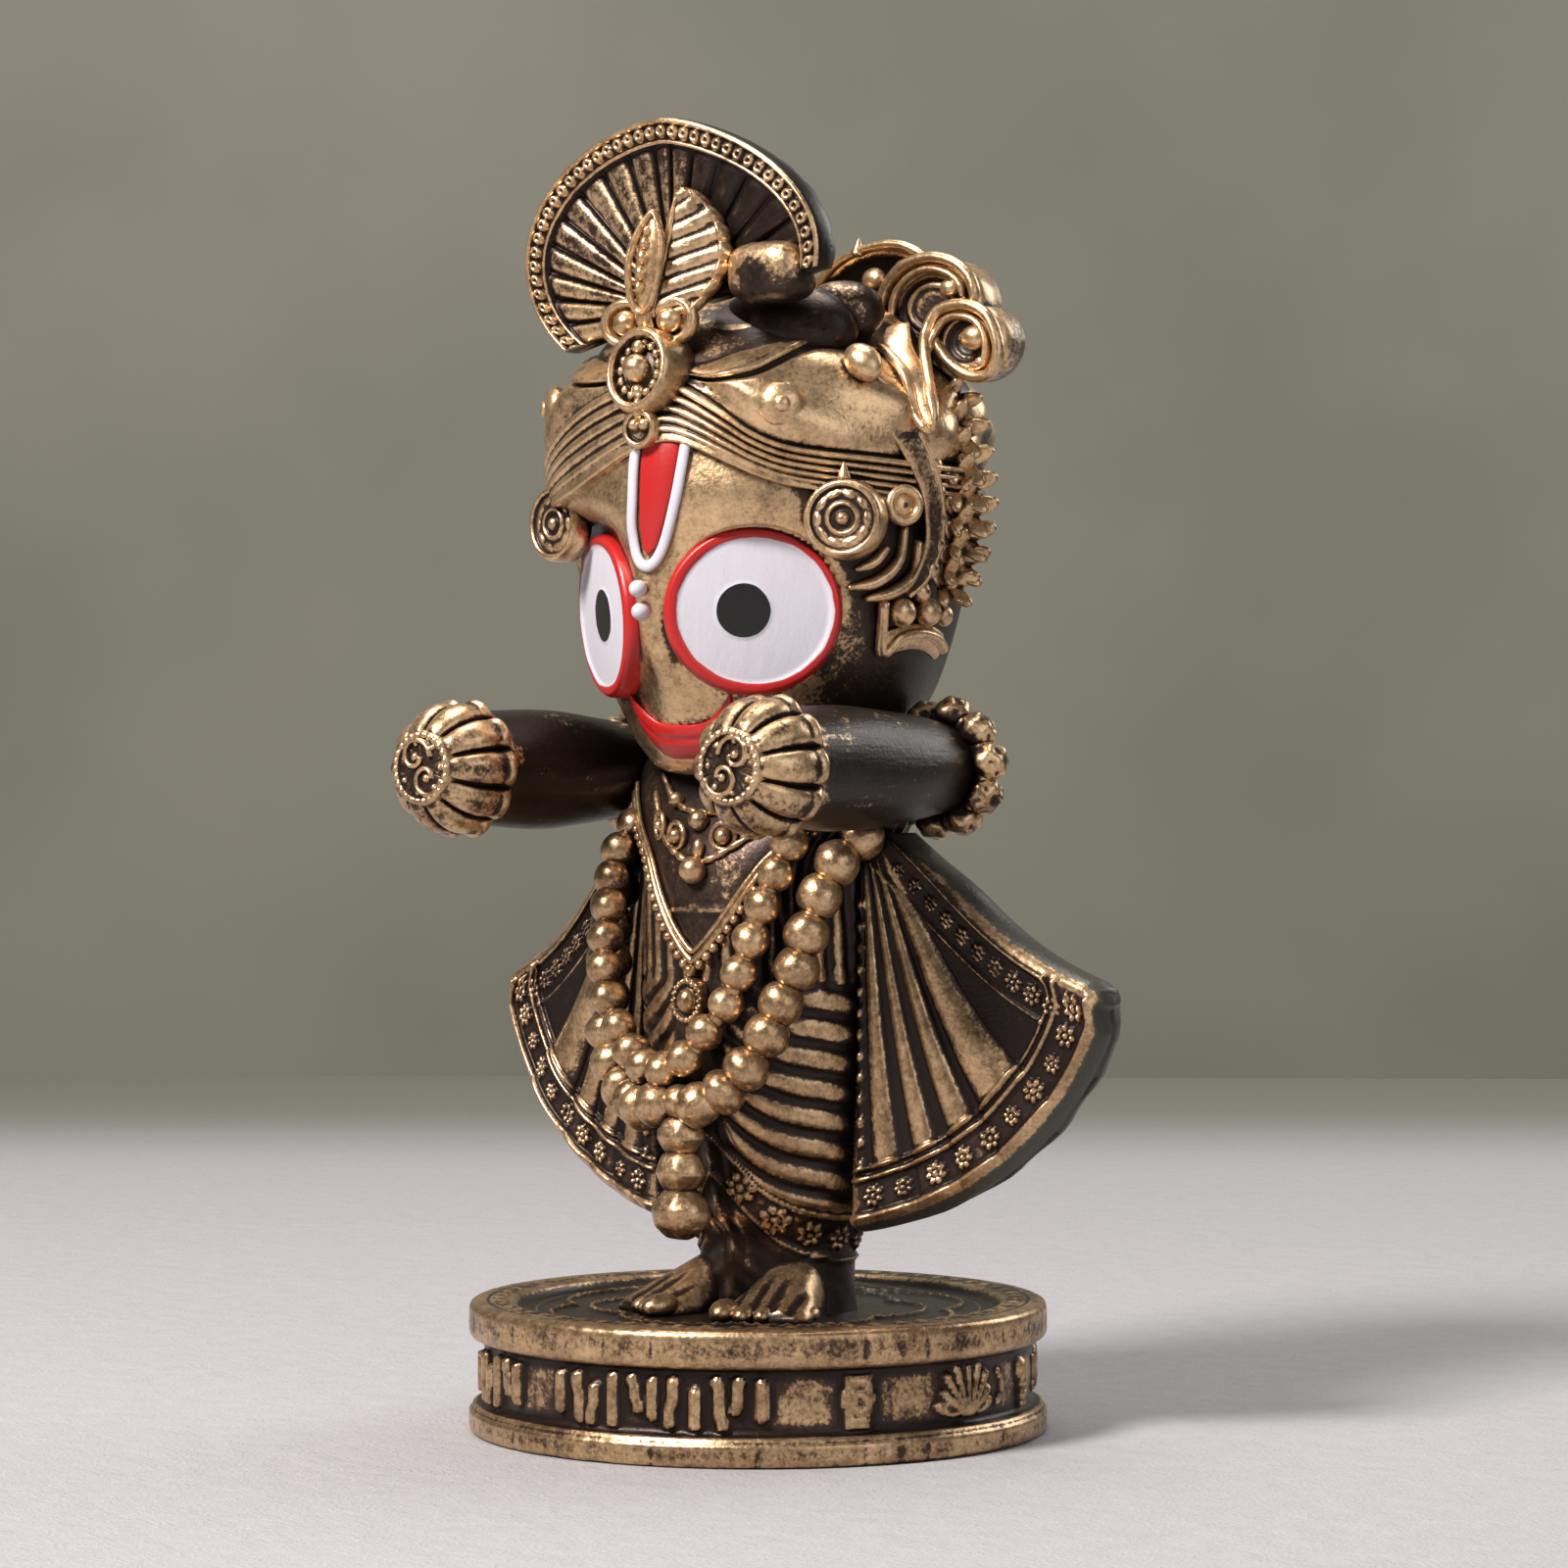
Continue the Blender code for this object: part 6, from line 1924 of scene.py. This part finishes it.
class FIGURE_OT_garlands(bpy.types.Operator):
    """Make the garlands, the chest chain and the necklace"""

    bl_idname = "figure.garlands"
    bl_label = "Garlands"

    def execute(self, context):
        garland_form().piece("garlands", finish_named("rubbed_bronze"))
        chain_form().piece("chest_chains", finish_named("rubbed_bronze"))
        return {"FINISHED"}


class FIGURE_OT_patina_and_shade(bpy.types.Operator):
    """Find the hollows between all the pieces, darkened as patina where the gold wasn't rubbed on and as
    painted shade where the pieces crowd each other
    """

    bl_idname = "figure.patina"
    bl_label = "Patina and Shade"

    def execute(self, context):
        find_hollows()
        return {"FINISHED"}


class FIGURE_OT_stage(bpy.types.Operator):
    """Make the floor, the backdrop, the soft lights and the camera"""

    bl_idname = "figure.stage"
    bl_label = "Stage"

    def execute(self, context):
        stage = context.scene.stage_settings
        turn = stage.turn
        back = np.array((math.sin(turn), -math.cos(turn), 0.0))
        right = np.array((math.cos(turn), math.sin(turn), 0.0))
        make_floor(stage)
        make_backdrop(stage, back, right)
        for name, (place, size, power, tint) in LIGHTS.items():
            data = bpy.data.lights.new(name, "AREA")
            data.shape, data.size, data.energy, data.color = "DISK", size, power, tint
            light = bpy.data.objects.new(name, data)
            context.scene.collection.objects.link(light)
            light.location = Vector(back * place[0] + right * place[1] + (0, 0, place[2]))
            aim = Vector((0, 0, 0.05)) - light.location
            light.rotation_euler = aim.to_track_quat("-Z", "Y").to_euler()
        world = bpy.data.worlds.new("soft_room")
        context.scene.world = world
        world.use_nodes = True
        world.node_tree.nodes["Background"].inputs["Color"].default_value = ROOM_COLOUR
        world.node_tree.nodes["Background"].inputs["Strength"].default_value = ROOM_STRENGTH
        data = bpy.data.cameras.new("camera")
        data.sensor_width = 36.0
        data.lens = CAMERA_LENS
        data.clip_start = 0.01
        data.shift_y = CAMERA_SHIFT
        camera = bpy.data.objects.new("camera", data)
        context.scene.collection.objects.link(camera)
        camera.location = Vector(back * stage.distance + right * CAMERA_ASIDE) + Vector((0, 0, CAMERA_HEIGHT))
        camera.rotation_euler = (math.radians(90.0), 0.0, turn)
        context.scene.camera = camera
        context.scene.view_settings.view_transform = "Standard"
        return {"FINISHED"}


def sheet_object(name, grid, material):
    """An open sheet of points in metres as an object of the stage."""
    rows, columns = grid.shape[:2]
    index = np.arange(rows * columns).reshape(rows, columns)
    quads = np.stack((index[:-1, :-1], index[:-1, 1:], index[1:, 1:], index[1:, :-1]), -1).reshape(-1, 4)
    mesh = bpy.data.meshes.new(name)
    mesh.from_pydata(grid.reshape(-1, 3).tolist(), [], quads.tolist())
    mesh.shade_smooth()
    mesh.materials.append(material)
    item = bpy.data.objects.new(name, mesh)
    bpy.context.scene.collection.objects.link(item)
    item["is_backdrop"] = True


def make_floor(stage):
    """A flat pale floor that fades into the wall's colour far behind the figure."""
    material, tree, place, shader = shader_of("floor_felt")
    soft = noise(tree, place, 0.35, 4.0, 0.6)
    fine = noise(tree, place, 2.4, 3.0, 0.6)
    share = (soft * 0.5 + fine * 0.3 + 0.5).rise(0.1, 0.9)
    colour = blend(tree, share, solid(stage.floor, (0.9,) * 3), solid(stage.floor))
    split = node(tree, "ShaderNodeSeparateXYZ", {}, {"Vector": place})
    x, y = Value(tree, split.outputs[0]), Value(tree, split.outputs[1])
    behind = y * math.cos(stage.turn) - x * math.sin(stage.turn)
    colour = blend(tree, behind.rise(*FADE), colour, solid(stage.backdrop))
    plug(tree, shader.inputs["Base Color"], colour)
    shader.inputs["Roughness"].default_value = 0.95
    roughen(tree, shader, soft + fine * 0.6, 0.5, 0.0004)
    x, y = np.meshgrid(np.linspace(-3, 3, 4), np.linspace(-3, 3, 4), indexing="ij")
    sheet_object("floor", np.stack((x, y, 0 * x), -1), material)


def make_backdrop(stage, back, right):
    """A plain wall behind the figure, in the colour the floor fades into."""
    material, tree, place, shader = shader_of("backdrop_paint")
    soft = noise(tree, place, 0.012, 3.0, 0.5)
    wall = blend(tree, (soft + 0.5).rise(0.0, 1.0), solid(stage.backdrop, (0.8,) * 3), solid(stage.backdrop))
    plug(tree, shader.inputs["Base Color"], wall)
    shader.inputs["Roughness"].default_value = 1.0
    across, up = np.meshgrid(np.linspace(-1.2, 1.2, 4), np.linspace(-0.01, 1.1, 4), indexing="ij")
    sideways = right + back * 0.04
    grid = -back * WALL_BEHIND + across[..., None] * sideways + up[..., None] * np.array((0, 0, 1.0))
    sheet_object("backdrop", grid, material)


class FIGURE_PT_panel(bpy.types.Panel):
    """Lists the figure's sizes, colours and parts."""

    bl_label = "Figure"
    bl_space_type = "VIEW_3D"
    bl_region_type = "UI"
    bl_category = "Figure"

    def draw(self, context):
        for group in (context.scene.figure_sizes, context.scene.figure_colours, context.scene.stage_settings):
            for key in group.__annotations__:
                self.layout.prop(group, key)
        for part in OPERATORS:
            self.layout.operator(part.bl_idname)


OPERATORS = (
    FIGURE_OT_plinth,
    FIGURE_OT_robe,
    FIGURE_OT_wings,
    FIGURE_OT_arms,
    FIGURE_OT_head,
    FIGURE_OT_crest,
    FIGURE_OT_ornaments,
    FIGURE_OT_garlands,
    FIGURE_OT_patina_and_shade,
    FIGURE_OT_stage,
)
GROUPS = (FigureSizes, FigureColours, StageSettings)


def register():
    for part in (*GROUPS, *OPERATORS, FIGURE_PT_panel):
        bpy.utils.register_class(part)
    bpy.types.Scene.figure_sizes = PointerProperty(type=FigureSizes)
    bpy.types.Scene.figure_colours = PointerProperty(type=FigureColours)
    bpy.types.Scene.stage_settings = PointerProperty(type=StageSettings)


def unregister():
    del bpy.types.Scene.stage_settings
    del bpy.types.Scene.figure_colours
    del bpy.types.Scene.figure_sizes
    for part in reversed((*GROUPS, *OPERATORS, FIGURE_PT_panel)):
        bpy.utils.unregister_class(part)


def main():
    """Makes the whole figure and its stage."""
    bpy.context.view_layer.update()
    register()
    for part in OPERATORS:
        family, name = part.bl_idname.split(".")
        getattr(getattr(bpy.ops, family), name)()


if __name__ == "__main__":
    main()
